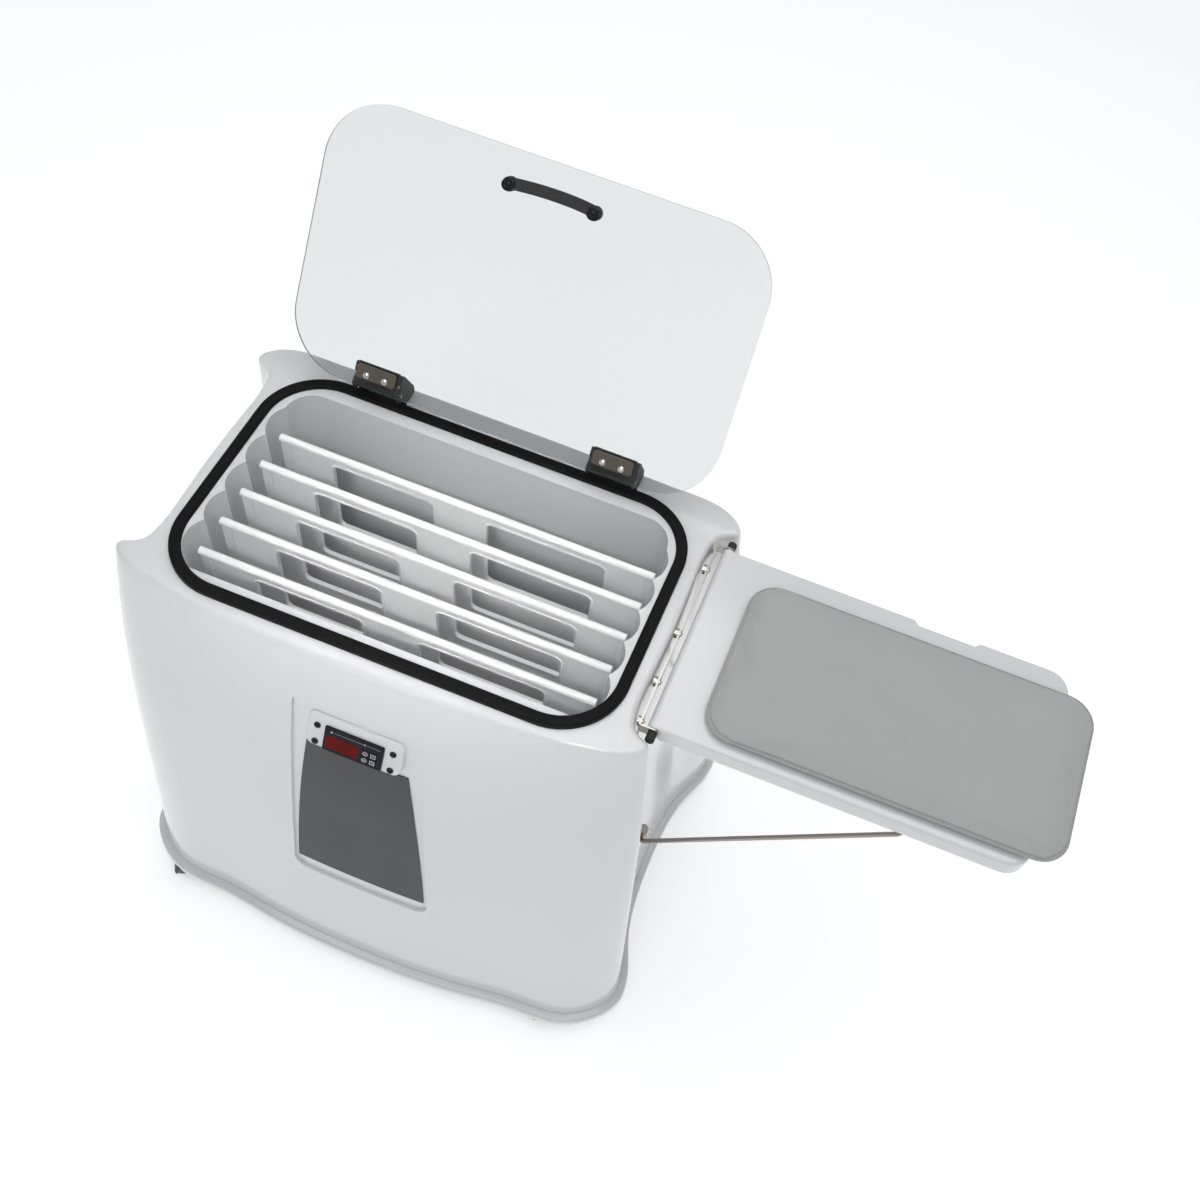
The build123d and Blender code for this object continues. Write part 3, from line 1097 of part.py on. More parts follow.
# ------------------------------------------------------------------ hot pack
def make_hot_pack():
    """Filled fabric pad: thin at its seam, crowned on top, flat where it lies on the shelf."""
    bottom = SHELF_TOP_Z + SEAT_GAP
    seam_low = bottom + PACK_EDGE / 2
    levels = ((bottom, 2 * PACK_EDGE), (seam_low, 0.0), (seam_low + PACK_EDGE, 0.0),
              (bottom + PACK_THICKNESS * 3 / 4, 2 * PACK_EDGE), (bottom + PACK_THICKNESS, 5 * PACK_EDGE))
    sections = []
    for z, inset in levels:
        radius = max(PACK_CORNER - inset, PACK_CORNER / 2)
        plan = RectangleRounded(PACK_LENGTH - 2 * inset, PACK_DEPTH - 2 * inset, radius)
        sections.append(Pos(PACK_MID_X, PACK_MID_Y, z) * plan)
    return loft(sections, ruled=True)


# ------------------------------------------------------------------ casters
def caster_places():
    """Middles of the four caster stems: front left, front right, rear right, rear left."""
    return [(-CASTER_X, CASTER_FRONT_Y), (CASTER_X, CASTER_FRONT_Y), (CASTER_X, CASTER_BACK_Y), (-CASTER_X, CASTER_BACK_Y)]


def caster_frame(index):
    """Frame at the foot of one stem on the floor, with +X towards the trailing wheels."""
    x, y = caster_places()[index]
    return Pos(x, y, 0) * Rot(0, 0, CASTER_HEADINGS[index])


def make_caster_stems():
    """Threaded stems screwed into the base plate."""
    stems = []
    for x, y in caster_places():
        low = BASE_PLATE_Z - HOOD_TOP_GAP
        stem = rod((x, y, low - FORK_BOSS_DEPTH), (x, y, BASE_PLATE_Z + CASTER_STEM_LENGTH), CASTER_STEM_RADIUS - PIN_CLEARANCE)
        stem += hexagon_nut((x, y, BASE_PLATE_Z + BASE_PLATE_THICKNESS), (0, 0, 1), 2 * FORK_BOSS_RADIUS,
                            CASTER_STEM_RADIUS)
        stems.append(stem)
    return Compound(stems)


def make_caster_hood(index):
    """Dark domed hood with its fork web between the wheels and a boss round the stem."""
    reach = WHEEL_RADIUS + HOOD_GAP + HOOD_WALL
    half = WHEEL_CORE_GAP + WHEEL_WIDTH + HOOD_GAP
    top = BASE_PLATE_Z - HOOD_TOP_GAP
    shell = Pos(CASTER_TRAIL, 0, WHEEL_RADIUS) * Rot(90, 0, 0) * Cylinder(reach, 2 * half)
    shell = fillet(shell.edges(), HOOD_WALL)
    low = reach * 2
    shell -= box_between((CASTER_TRAIL - low, -low, -low), (CASTER_TRAIL + low, low, WHEEL_RADIUS / 2))
    hollow = WHEEL_RADIUS + HOOD_GAP
    for side in (-1, 1):
        y = side * (WHEEL_CORE_GAP - HOOD_GAP / 2 + half)
        shell -= Pos(CASTER_TRAIL, y, WHEEL_RADIUS) * Rot(90, 0, 0) * Cylinder(hollow, 2 * half)
    boss_depth = top - FORK_BOSS_LOW
    shell += Pos(0, 0, top - boss_depth / 2) * Cylinder(FORK_BOSS_RADIUS, boss_depth)
    shell += box_between((0, -WHEEL_CORE_GAP / 2, FORK_BOSS_LOW), (CASTER_TRAIL, WHEEL_CORE_GAP / 2, top - 2 * HOOD_WALL))
    shell -= box_between((-low, -low, top), (2 * low, low, 2 * low))
    shell -= Pos(CASTER_TRAIL, 0, WHEEL_RADIUS) * Rot(90, 0, 0) * Cylinder(AXLE_RADIUS + PIN_CLEARANCE, 4 * half)
    shell -= Pos(0, 0, top - FORK_BOSS_DEPTH / 2) * Cylinder(CASTER_STEM_RADIUS, FORK_BOSS_DEPTH)
    return caster_frame(index) * shell


def make_caster_wheels(index):
    """Twin wheels on one axle."""
    tyre = fillet(Cylinder(WHEEL_RADIUS, WHEEL_WIDTH).edges(), HOOD_GAP)
    wheels = Pos(CASTER_TRAIL, 0, WHEEL_RADIUS) * Rot(90, 0, 0) * Cylinder(AXLE_RADIUS, 2 * (WHEEL_CORE_GAP + WHEEL_WIDTH))
    for side in (-1, 1):
        y = side * (WHEEL_CORE_GAP + WHEEL_WIDTH / 2)
        wheels += Pos(CASTER_TRAIL, y, WHEEL_RADIUS) * Rot(90, 0, 0) * tyre
    return caster_frame(index) * wheels


# ------------------------------------------------------------------ drain and power
def make_drain_pipe():
    """Bent pipe from the tank's floor to the back wall."""
    top = TANK_FLOOR_Z - TANK_WALL - PIN_CLEARANCE
    end = wall_seats(DRAIN_Z)[1]
    path = FilletPolyline((DRAIN_X, DRAIN_Y, top), (DRAIN_X, DRAIN_Y, DRAIN_Z), (DRAIN_X, end, DRAIN_Z), radius=PIPE_BEND)
    ring = Circle(PIPE_RADIUS) - Circle(PIPE_RADIUS - PIPE_WALL)
    return sweep(Plane(origin=path @ 0, z_dir=path % 0) * ring, path=path)


def make_drain_valve():
    """Valve body on the back wall with a plain hose tail."""
    start = wall_seats(DRAIN_Z)[1] + PIN_CLEARANCE
    valve = hexagon_nut((DRAIN_X, start, DRAIN_Z), (0, 1, 0), 2 * VALVE_RADIUS, VALVE_LENGTH)
    tail = start + VALVE_LENGTH
    valve += rod((DRAIN_X, tail, DRAIN_Z), (DRAIN_X, tail + BARB_LENGTH, DRAIN_Z), PIPE_RADIUS)
    valve -= rod((DRAIN_X, start, DRAIN_Z), (DRAIN_X, tail + BARB_LENGTH, DRAIN_Z), PIPE_RADIUS - PIPE_WALL)
    bore = LEVER_STEM_RADIUS + PIN_CLEARANCE
    socket = DRAIN_Z + VALVE_RADIUS - (VALVE_RADIUS - PIPE_RADIUS + PIPE_WALL) / 2
    return valve - rod((DRAIN_X, start + VALVE_LENGTH / 2, socket), (DRAIN_X, start + VALVE_LENGTH / 2, 2 * DRAIN_Z), bore)


def make_drain_lever():
    """Quarter-turn lever, closed across the valve."""
    y = wall_seats(DRAIN_Z)[1] + PIN_CLEARANCE + VALVE_LENGTH / 2
    top = DRAIN_Z + VALVE_RADIUS + LEVER_STEM_HEIGHT
    socket = DRAIN_Z + VALVE_RADIUS - (VALVE_RADIUS - PIPE_RADIUS + PIPE_WALL) / 2 + PIN_CLEARANCE
    lever = rod((DRAIN_X, y, socket), (DRAIN_X, y, top), LEVER_STEM_RADIUS)
    arm = Pos(DRAIN_X + LEVER_LENGTH / 2, y, top) * SlotOverall(LEVER_LENGTH + LEVER_WIDTH, LEVER_WIDTH)
    return lever + extrude(arm, LEVER_THICKNESS, dir=(0, 0, 1))


def make_cord_gland():
    """Nylon gland in the back wall for the mains lead: hexagon, threaded tube and dome nut."""
    inside, outside = wall_seats(GLAND_Z)
    start = inside - GLAND_NUT - PIN_CLEARANCE
    out = outside + PIN_CLEARANCE
    gland = rod((GLAND_X, start, GLAND_Z), (GLAND_X, out, GLAND_Z), GLAND_TUBE_RADIUS)
    gland += hexagon_nut((GLAND_X, start, GLAND_Z), (0, 1, 0), GLAND_ACROSS, GLAND_NUT)
    gland += hexagon_nut((GLAND_X, out, GLAND_Z), (0, 1, 0), GLAND_ACROSS, GLAND_NUT)
    plane = Plane(origin=(GLAND_X, out + GLAND_NUT, GLAND_Z), z_dir=(0, 1, 0))
    dome = extrude(Circle(GLAND_TUBE_RADIUS + SHELL_WALL / 2), GLAND_LENGTH - GLAND_NUT)
    gland += plane * fillet(dome.faces().sort_by(Axis.Z)[-1].edges(), SHELL_WALL / 2)
    gland -= rod((GLAND_X, start, GLAND_Z), (GLAND_X, out + GLAND_NUT, GLAND_Z), GLAND_TUBE_RADIUS - GLAND_TUBE_WALL)
    return gland - rod((GLAND_X, out, GLAND_Z), (GLAND_X, out + GLAND_LENGTH, GLAND_Z), GLAND_BORE)


# ------------------------------------------------------------------ write the parts
def main():
    os.makedirs(PARTS, exist_ok=True)
    for name, make in PIECES.items():
        save(make(), name)
    for name, make in SIDED_PIECES.items():
        piece = make()
        save(piece, f"{name}_right")
        save(mirrored_x(piece), f"{name}_left")
    for i in range(RACK_COUNT):
        save(make_rack(i), f"rack_{i + 1}")
    for i, (x, z) in enumerate(key_places()):
        save(make_key(x, z), f"key_{i + 1}")
    for i in range(len(caster_places())):
        save(make_caster_hood(i), f"caster_hood_{i + 1}")
        save(make_caster_wheels(i), f"caster_wheels_{i + 1}")


PIECES = {
    "cabinet_shell": make_cabinet_shell,
    "base_plate": make_base_plate,
    "tank_liner": make_tank_liner,
    "tank_insulation": make_tank_insulation,
    "lid_gasket": make_lid_gasket,
    "rack_stand": make_rack_stand,
    "heating_element": make_heating_element,
    "element_nuts": make_element_nuts,
    "thermostat_probe": make_thermostat_probe,
    "thermal_cutout": make_thermal_cutout,
    "control_bezel": make_control_bezel,
    "bezel_screws": make_bezel_screws,
    "thermostat_body": make_thermostat_body,
    "display_window": make_display_window,
    "front_panel": make_front_panel,
    "lid_glass": make_lid_glass,
    "lid_handle": make_lid_handle,
    "handle_screws": make_handle_screws,
    "clamp_screws": make_clamp_screws,
    "hinge_pins": make_hinge_pins,
    "hinge_base_screws": make_hinge_base_screws,
    "side_shelf": make_side_shelf,
    "shelf_rail": make_shelf_rail,
    "shelf_rail_screws": make_rail_screws,
    "shelf_hinge_rod": make_shelf_hinge_rod,
    "shelf_rod_caps": make_rod_caps,
    "shelf_strut": make_shelf_strut,
    "strut_brackets": make_strut_brackets,
    "hot_pack": make_hot_pack,
    "caster_stems": make_caster_stems,
    "drain_pipe": make_drain_pipe,
    "drain_valve": make_drain_valve,
    "drain_lever": make_drain_lever,
    "cord_gland": make_cord_gland,
}
SIDED_PIECES = {
    "hinge_base": make_hinge_base,
    "hinge_leaf": make_hinge_leaf,
    "clamp_plate": make_clamp_plate,
}

main()
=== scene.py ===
"""Finishes for the hot pack heater: materials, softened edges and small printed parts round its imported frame.

Metres, +Z up, the origin on the floor below the middle of the lid gasket, as in the frame.
"""

import json
import math

import bmesh
import bpy
from bpy.props import FloatProperty, FloatVectorProperty, IntProperty, PointerProperty
from mathutils import Matrix, Vector

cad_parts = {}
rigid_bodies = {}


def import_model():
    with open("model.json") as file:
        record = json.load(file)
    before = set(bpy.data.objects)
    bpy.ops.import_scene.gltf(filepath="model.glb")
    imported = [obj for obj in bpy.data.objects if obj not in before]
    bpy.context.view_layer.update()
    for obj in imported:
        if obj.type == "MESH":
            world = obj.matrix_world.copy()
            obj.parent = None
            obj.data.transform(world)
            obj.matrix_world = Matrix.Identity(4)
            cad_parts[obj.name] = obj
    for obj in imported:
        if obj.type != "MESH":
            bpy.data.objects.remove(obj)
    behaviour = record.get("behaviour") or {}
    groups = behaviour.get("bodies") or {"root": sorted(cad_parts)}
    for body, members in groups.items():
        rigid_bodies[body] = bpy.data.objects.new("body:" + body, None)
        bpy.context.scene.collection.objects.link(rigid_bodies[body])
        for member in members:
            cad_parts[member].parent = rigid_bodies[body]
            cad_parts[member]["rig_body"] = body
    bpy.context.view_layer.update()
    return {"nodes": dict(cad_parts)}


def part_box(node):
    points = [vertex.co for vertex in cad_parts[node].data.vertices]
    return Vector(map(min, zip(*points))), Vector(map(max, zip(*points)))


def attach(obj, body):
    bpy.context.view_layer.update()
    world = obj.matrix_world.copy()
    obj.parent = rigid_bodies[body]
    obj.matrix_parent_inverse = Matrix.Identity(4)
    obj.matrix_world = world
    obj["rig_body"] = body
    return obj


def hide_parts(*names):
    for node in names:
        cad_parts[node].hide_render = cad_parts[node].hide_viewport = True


bl_info = {
    "name": "Hot Pack Heater Finishes",
    "version": (1, 0, 0),
    "blender": (4, 5, 0),
    "location": "View3D > Sidebar > Heater",
    "description": "Dresses the packed frame of a hot pack heater",
    "category": "Object",
}

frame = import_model()

MM = 0.001

# angles in degrees from which an edge counts as sharp
SHARP_ANGLE, MOULDED_ANGLE, TANK_ANGLE, GLASS_ANGLE = 32.0, 40.0, 50.0, 30.0
MERGE_DISTANCE, SHORTEST_EDGE = 2e-6, 1e-6
BEVEL_SEGMENTS = 2

# softened edges of the thermostat's parts and the panel
FACE_EDGE, WINDOW_EDGE, KEY_EDGE, PANEL_EDGE = 0.25 * MM, 0.2 * MM, 0.15 * MM, 0.3 * MM

# the thermostat's face in the frame, and the middles of its keys in face coordinates
FACE_TILT = math.radians(26.0)
FACE_MIDDLE = Vector((0.0, -0.222, 0.601))
KEY_SPOTS = ((0.016, 0.0002), (0.026, 0.0002), (0.016, -0.0092), (0.026, -0.0092))

# printing on the keys
KEY_TOP = 0.8 * MM
KEY_PRINT_WIDTH, KEY_PRINT_HEIGHT = 6.4 * MM, 5.6 * MM
ROUND_KEYS = (1, 3)
ROUND_KEY_RADIUS, SQUARE_KEY_RADIUS = 2.6 * MM, 0.9 * MM
KEY_BAR_WIDTH, KEY_BAR_ROUNDING = 2.4 * MM, 2.2

# display digits; the shares are width, bar thickness and gap over the height
DIGIT_COUNT, FIRST_DIGIT_U, DIGIT_PITCH, DIGIT_MIDDLE_V = 3, -25.0 * MM, 9.2 * MM, -4.5 * MM
DIGIT_SHARES = (0.52, 0.17, 0.02)
DECIMAL_POINT = (2.6 * MM, -9.2 * MM, 1.4 * MM, 1.4 * MM, 0.6 * MM)

# lamps and thin lines above the display and the keys: u, v, width, height, corner radius
FACE_MARKS = ((-28.5 * MM, 11.2 * MM, 2.6 * MM, 2.2 * MM, 1.0 * MM),
              (13.5 * MM, 11.5 * MM, 2.4 * MM, 1.8 * MM, 0.8 * MM),
              (-7.0 * MM, 11.4 * MM, 37.0 * MM, 0.25 * MM, 0.1 * MM),
              (24.5 * MM, 11.6 * MM, 18.0 * MM, 0.25 * MM, 0.1 * MM))
DIGIT_THICKNESS, MARK_THICKNESS, KEY_PRINT_THICKNESS = 0.12 * MM, 0.06 * MM, 0.05 * MM

# the pack's seam, above the bottom of its space, and the stitches on it
SEAM_HEIGHT, SEAM_ROUNDING = 8.0 * MM, 0.4 * MM
PACK_CORNER = 40.0 * MM
STITCH_INSET, STITCH_CORNER, THREAD_RADIUS = 1.5 * MM, 34.5 * MM, 0.5 * MM

# camera solved from the photograph: focal length and centre in pixels of its 1200 by 1200 frame
PHOTO_SIDE = 1200.0
FOCAL_PIXELS = 1396.51
CENTRE_X, CENTRE_Y = 688.285, 550.578
SENSOR = 36.0
CAMERA_RIGHT = (0.93252, 0.33896, 0.12451)
CAMERA_UP = (-0.34781, 0.75039, 0.56209)
CAMERA_BACK = (0.09709, -0.56747, 0.81765)
CAMERA_PLACE = (0.439, -0.835, 2.099)
CLIP_NEAR, CLIP_FAR = 0.05, 60.0

# studio lights: name, place, aim, size, power in watts, spread in degrees
LAMPS = (("overhead_softbox", (0.3, 0.3, 3.4), (0.2, 0.0, 0.5), (2.6, 2.6), 36.0, 180.0),
         ("front_softbox", (0.48, -1.93, 3.28), (0.15, 0.0, 0.5), (2.0, 2.0), 12.0, 180.0),
         ("left_softbox", (-2.6, -1.6, 2.0), (0.0, 0.0, 0.5), (1.8, 1.8), 2.0, 180.0),
         ("tank_light", (0.24, -1.42, 2.75), (0.0, 0.0, 0.70), (0.45, 0.30), 0.30, 12.0))
WORLD_COLOUR, WORLD_STRENGTH = (0.97, 0.98, 1.0, 1.0), 0.45
FLOOR_COLOUR, FLOOR_SIZE, FLOOR_GLOW = (0.97, 0.97, 0.975, 1.0), 15.0, 0.36


# ---------------------------------------------------------------- values a user would change
def colour(name, description, default):
    """A linear colour property."""
    return FloatVectorProperty(name=name, description=description, default=default, size=3, min=0.0, max=1.0,
                               subtype="COLOR")


def length(name, description, default):
    """A length property in metres."""
    return FloatProperty(name=name, description=description, default=default, min=0.0, subtype="DISTANCE",
                         unit="LENGTH")


class HeaterSizes(bpy.types.PropertyGroup):
    """Sizes of the softened edges, the pack and the printing"""
    moulded_edge: length("Moulded edge", "Rounding of the white mouldings' edges", 1.2 * MM)
    rack_edge: length("Rack edge", "Rounding of the racks' edges", 0.5 * MM)
    metal_edge: length("Metal edge", "Rounding of cut metal edges", 0.35 * MM)
    pad_start: length("Pad start", "How much smaller the pack starts before it swells", 1.5 * MM)
    pad_cap: length("Pad cap", "Most that a point of the pack may move while it swells", 6.0 * MM)
    seam_inset: length("Seam inset", "How far the welded seam stays inside the pack's space", 4.0 * MM)
    seam_width: length("Seam width", "Width of the welded seam, most of it inside the pad", 16.0 * MM)
    seam_thickness: length("Seam thickness", "Thickness of the welded seam", 1.8 * MM)
    stitch_length: length("Stitch length", "Length of one stitch on the pack's seam", 3.2 * MM)
    stitch_count: IntProperty(name="Stitches", description="Number of stitches round the pack", default=260,
                              min=8)
    digit_height: length("Digit height", "Height of the display's digits", 10.5 * MM)
    outline_width: length("Key outline", "Width of the printed outline on each key", 0.8 * MM)


class HeaterColours(bpy.types.PropertyGroup):
    """Linear colours of the finishes"""
    white: colour("White moulding", "Cabinet, bezel and shelf", (0.690, 0.693, 0.708))
    rack: colour("Racks", "Lift-out racks", (0.88, 0.88, 0.88))
    tank: colour("Tank", "Inside of the water tank", (0.66, 0.665, 0.675))
    gasket: colour("Gasket", "Rubber ring under the lid", (0.004, 0.0038, 0.0038))
    black: colour("Black plastic", "Hinges, handle and caps", (0.008, 0.008, 0.0085))
    nickel: colour("Nickel", "Shelf rail and rod", (0.50, 0.47, 0.43))
    wire: colour("Wire", "Shelf strut", (0.36, 0.33, 0.30))
    clamp: colour("Clamp plates", "Plates under the glass", (0.20, 0.17, 0.145))
    panel: colour("Front panel", "Dark cover plate", (0.050, 0.052, 0.055))
    face: colour("Thermostat", "Thermostat's face", (0.006, 0.007, 0.014))
    display: colour("Display", "Window over the digits", (0.14, 0.008, 0.004))
    digits: colour("Digits", "Digits behind the window", (0.040, 0.003, 0.002))
    print_white: colour("Printing", "Outlines and marks on the thermostat", (0.55, 0.58, 0.64))
    pack: colour("Pack", "Cloth of the hot pack", (0.43, 0.43, 0.43))
    glass: colour("Glass", "Tint of the lid", (0.80, 0.825, 0.825))
    glass_edge: colour("Glass edge", "Cut edge of the lid", (0.10, 0.22, 0.19))
    caster: colour("Casters", "Hoods and wheels", (0.045, 0.045, 0.048))


# ---------------------------------------------------------------- shader groups
def new_group(name, inputs, outputs):
    """Shader node group with named sockets; returns it with its input and output nodes."""
    group = bpy.data.node_groups.new(name, "ShaderNodeTree")
    for label, kind, default in inputs:
        socket = group.interface.new_socket(label, in_out="INPUT", socket_type=kind)
        socket.default_value = default
    for label, kind in outputs:
        group.interface.new_socket(label, in_out="OUTPUT", socket_type=kind)
    return group, group.nodes.new("NodeGroupInput"), group.nodes.new("NodeGroupOutput")


def fine_surface_group():
    """Slow colour drift, roughness spread and fine grain, on Object coordinates."""
    group, given, result = new_group(
        "fine_surface",
        [("Colour", "NodeSocketColor", (0.8, 0.8, 0.8, 1.0)), ("Drift", "NodeSocketFloat", 0.04),
         ("Drift Scale", "NodeSocketFloat", 6.0), ("Roughness", "NodeSocketFloat", 0.3),
         ("Roughness Spread", "NodeSocketFloat", 0.08), ("Grain Scale", "NodeSocketFloat", 900.0),
         ("Grain Depth", "NodeSocketFloat", 0.00002)],
        [("Colour", "NodeSocketColor"), ("Roughness", "NodeSocketFloat"), ("Normal", "NodeSocketVector")])
    add, link = group.nodes.new, group.links.new
    place = add("ShaderNodeTexCoord")
    drift = add("ShaderNodeTexNoise")
    drift.inputs["Detail"].default_value = 3.0
    link(place.outputs["Object"], drift.inputs["Vector"])
    link(given.outputs["Drift Scale"], drift.inputs["Scale"])
    centred = add("ShaderNodeMath")
    centred.operation = "SUBTRACT"
    centred.inputs[1].default_value = 0.5
    link(drift.outputs["Fac"], centred.inputs[0])
    shift = add("ShaderNodeMath")
    shift.operation = "MULTIPLY"
    link(centred.outputs[0], shift.inputs[0])
    link(given.outputs["Drift"], shift.inputs[1])
    factor = add("ShaderNodeMath")
    factor.operation = "ADD"
    factor.inputs[1].default_value = 1.0
    link(shift.outputs[0], factor.inputs[0])
    tinted = add("ShaderNodeVectorMath")
    tinted.operation = "SCALE"
    link(given.outputs["Colour"], tinted.inputs[0])
    link(factor.outputs[0], tinted.inputs["Scale"])
    link(tinted.outputs[0], result.inputs["Colour"])
    spread = add("ShaderNodeMath")
    spread.operation = "MULTIPLY_ADD"
    link(centred.outputs[0], spread.inputs[0])
    link(given.outputs["Roughness Spread"], spread.inputs[1])
    link(given.outputs["Roughness"], spread.inputs[2])
    link(spread.outputs[0], result.inputs["Roughness"])
    grain = add("ShaderNodeTexNoise")
    grain.inputs["Detail"].default_value = 2.0
    link(place.outputs["Object"], grain.inputs["Vector"])
    link(given.outputs["Grain Scale"], grain.inputs["Scale"])
    bump = add("ShaderNodeBump")
    link(grain.outputs["Fac"], bump.inputs["Height"])
    link(given.outputs["Grain Depth"], bump.inputs["Distance"])
    link(bump.outputs["Normal"], result.inputs["Normal"])
    return group


def brushed_group():
    """Streaks along one axis for drawn or brushed metal."""
    group, given, result = new_group(
        "brushed_metal",
        [("Colour", "NodeSocketColor", (0.5, 0.5, 0.5, 1.0)),
         ("Stretch", "NodeSocketVector", (1.0, 1.0, 1.0)),
         ("Roughness", "NodeSocketFloat", 0.3), ("Streaks", "NodeSocketFloat", 0.1)],
        [("Colour", "NodeSocketColor"), ("Roughness", "NodeSocketFloat")])
    add, link = group.nodes.new, group.links.new
    place = add("ShaderNodeTexCoord")
    stretch = add("ShaderNodeVectorMath")
    stretch.operation = "MULTIPLY"
    link(place.outputs["Object"], stretch.inputs[0])
    link(given.outputs["Stretch"], stretch.inputs[1])
    streak = add("ShaderNodeTexNoise")
    streak.inputs["Scale"].default_value = 1.0
    streak.inputs["Detail"].default_value = 4.0
    link(stretch.outputs[0], streak.inputs["Vector"])
    centred = add("ShaderNodeMath")
    centred.operation = "SUBTRACT"
    centred.inputs[1].default_value = 0.5
    link(streak.outputs["Fac"], centred.inputs[0])
    spread = add("ShaderNodeMath")
    spread.operation = "MULTIPLY_ADD"
    link(centred.outputs[0], spread.inputs[0])
    link(given.outputs["Streaks"], spread.inputs[1])
    link(given.outputs["Roughness"], spread.inputs[2])
    link(spread.outputs[0], result.inputs["Roughness"])
    factor = add("ShaderNodeMath")
    factor.operation = "MULTIPLY_ADD"
    factor.inputs[2].default_value = 1.0
    link(centred.outputs[0], factor.inputs[0])
    link(given.outputs["Streaks"], factor.inputs[1])
    tinted = add("ShaderNodeVectorMath")
    tinted.operation = "SCALE"
    link(given.outputs["Colour"], tinted.inputs[0])
    link(factor.outputs[0], tinted.inputs["Scale"])
    link(tinted.outputs[0], result.inputs["Colour"])
    return group


def weave_group():
    """Plain weave: two crossing bands of threads, on Object coordinates."""
    group, given, result = new_group(
        "plain_weave",
        [("Colour", "NodeSocketColor", (0.4, 0.4, 0.4, 1.0)), ("Threads", "NodeSocketFloat", 420.0),
         ("Contrast", "NodeSocketFloat", 0.10), ("Depth", "NodeSocketFloat", 0.0001)],
        [("Colour", "NodeSocketColor"), ("Normal", "NodeSocketVector")])
    add, link = group.nodes.new, group.links.new
    place = add("ShaderNodeTexCoord")
    bands = []
    for axis in ("X", "Y"):
        band = add("ShaderNodeTexWave")
        band.bands_direction = axis
        band.inputs["Distortion"].default_value = 0.6
        band.inputs["Detail"].default_value = 1.0
        link(place.outputs["Object"], band.inputs["Vector"])
        link(given.outputs["Threads"], band.inputs["Scale"])
        bands.append(band)
    woven = add("ShaderNodeMath")
    woven.operation = "MAXIMUM"
    link(bands[0].outputs["Fac"], woven.inputs[0])
    link(bands[1].outputs["Fac"], woven.inputs[1])
    cloud = add("ShaderNodeTexNoise")
    cloud.inputs["Scale"].default_value = 14.0
    cloud.inputs["Detail"].default_value = 4.0
    link(place.outputs["Object"], cloud.inputs["Vector"])
    mixed = add("ShaderNodeMath")
    mixed.operation = "ADD"
    link(woven.outputs[0], mixed.inputs[0])
    link(cloud.outputs["Fac"], mixed.inputs[1])
    centred = add("ShaderNodeMath")
    centred.operation = "SUBTRACT"
    centred.inputs[1].default_value = 1.2
    link(mixed.outputs[0], centred.inputs[0])
    factor = add("ShaderNodeMath")
    factor.operation = "MULTIPLY_ADD"
    factor.inputs[2].default_value = 1.0
    link(centred.outputs[0], factor.inputs[0])
    link(given.outputs["Contrast"], factor.inputs[1])
    tinted = add("ShaderNodeVectorMath")
    tinted.operation = "SCALE"
    link(given.outputs["Colour"], tinted.inputs[0])
    link(factor.outputs[0], tinted.inputs["Scale"])
    link(tinted.outputs[0], result.inputs["Colour"])
    bump = add("ShaderNodeBump")
    link(woven.outputs[0], bump.inputs["Height"])
    link(given.outputs["Depth"], bump.inputs["Distance"])
    link(bump.outputs["Normal"], result.inputs["Normal"])
    return group


def shader_group(name):
    """One of the shared groups, built once."""
    makers = {"fine_surface": fine_surface_group, "brushed_metal": brushed_group, "plain_weave": weave_group}
    return bpy.data.node_groups.get(name) or makers[name]()


def blank_material(name):
    """Material with a Principled shader; returns it with the shader node."""
    material = bpy.data.materials.new(name)
    material.use_nodes = True
    return material, material.node_tree.nodes["Principled BSDF"]


def place_group(material, name, values):
    """Put a shared group into a material with its own values."""
    node = material.node_tree.nodes.new("ShaderNodeGroup")
    node.node_tree = shader_group(name)
    for label, value in values.items():
        node.inputs[label].default_value = value
    return node


def plastic(name, tint, roughness, drift=0.03, grain=0.00002, grain_scale=900.0, coat=0.0, specular=0.5):
    """Moulded plastic or rubber: colour drift, uneven gloss and fine grain."""
    material, shader = blank_material(name)
    surface = place_group(material, "fine_surface", {
        "Colour": (*tint, 1.0), "Drift": drift, "Roughness": roughness, "Roughness Spread": roughness * 0.4,
        "Grain Scale": grain_scale, "Grain Depth": grain})
    link = material.node_tree.links.new
    link(surface.outputs["Colour"], shader.inputs["Base Color"])
    link(surface.outputs["Roughness"], shader.inputs["Roughness"])
    link(surface.outputs["Normal"], shader.inputs["Normal"])
    shader.inputs["Specular IOR Level"].default_value = specular
    shader.inputs["Coat Weight"].default_value = coat
    shader.inputs["Coat Roughness"].default_value = 0.06
    return material


def metal(name, tint, roughness, stretch=(60.0, 60.0, 600.0), streaks=0.14):
    """Plated or drawn metal with streaks."""
    material, shader = blank_material(name)
    surface = place_group(material, "brushed_metal", {
        "Colour": (*tint, 1.0), "Stretch": stretch, "Roughness": roughness, "Streaks": streaks})
    link = material.node_tree.links.new
    link(surface.outputs["Colour"], shader.inputs["Base Color"])
    link(surface.outputs["Roughness"], shader.inputs["Roughness"])
    shader.inputs["Metallic"].default_value = 1.0
    return material


def cloth(name, tint, threads, contrast):
    """Woven cover of the pack."""
    material, shader = blank_material(name)
    surface = place_group(material, "plain_weave", {
        "Colour": (*tint, 1.0), "Threads": threads, "Contrast": contrast})
    link = material.node_tree.links.new
    link(surface.outputs["Colour"], shader.inputs["Base Color"])
    link(surface.outputs["Normal"], shader.inputs["Normal"])
    shader.inputs["Roughness"].default_value = 0.78
    shader.inputs["Sheen Weight"].default_value = 0.15
    return material


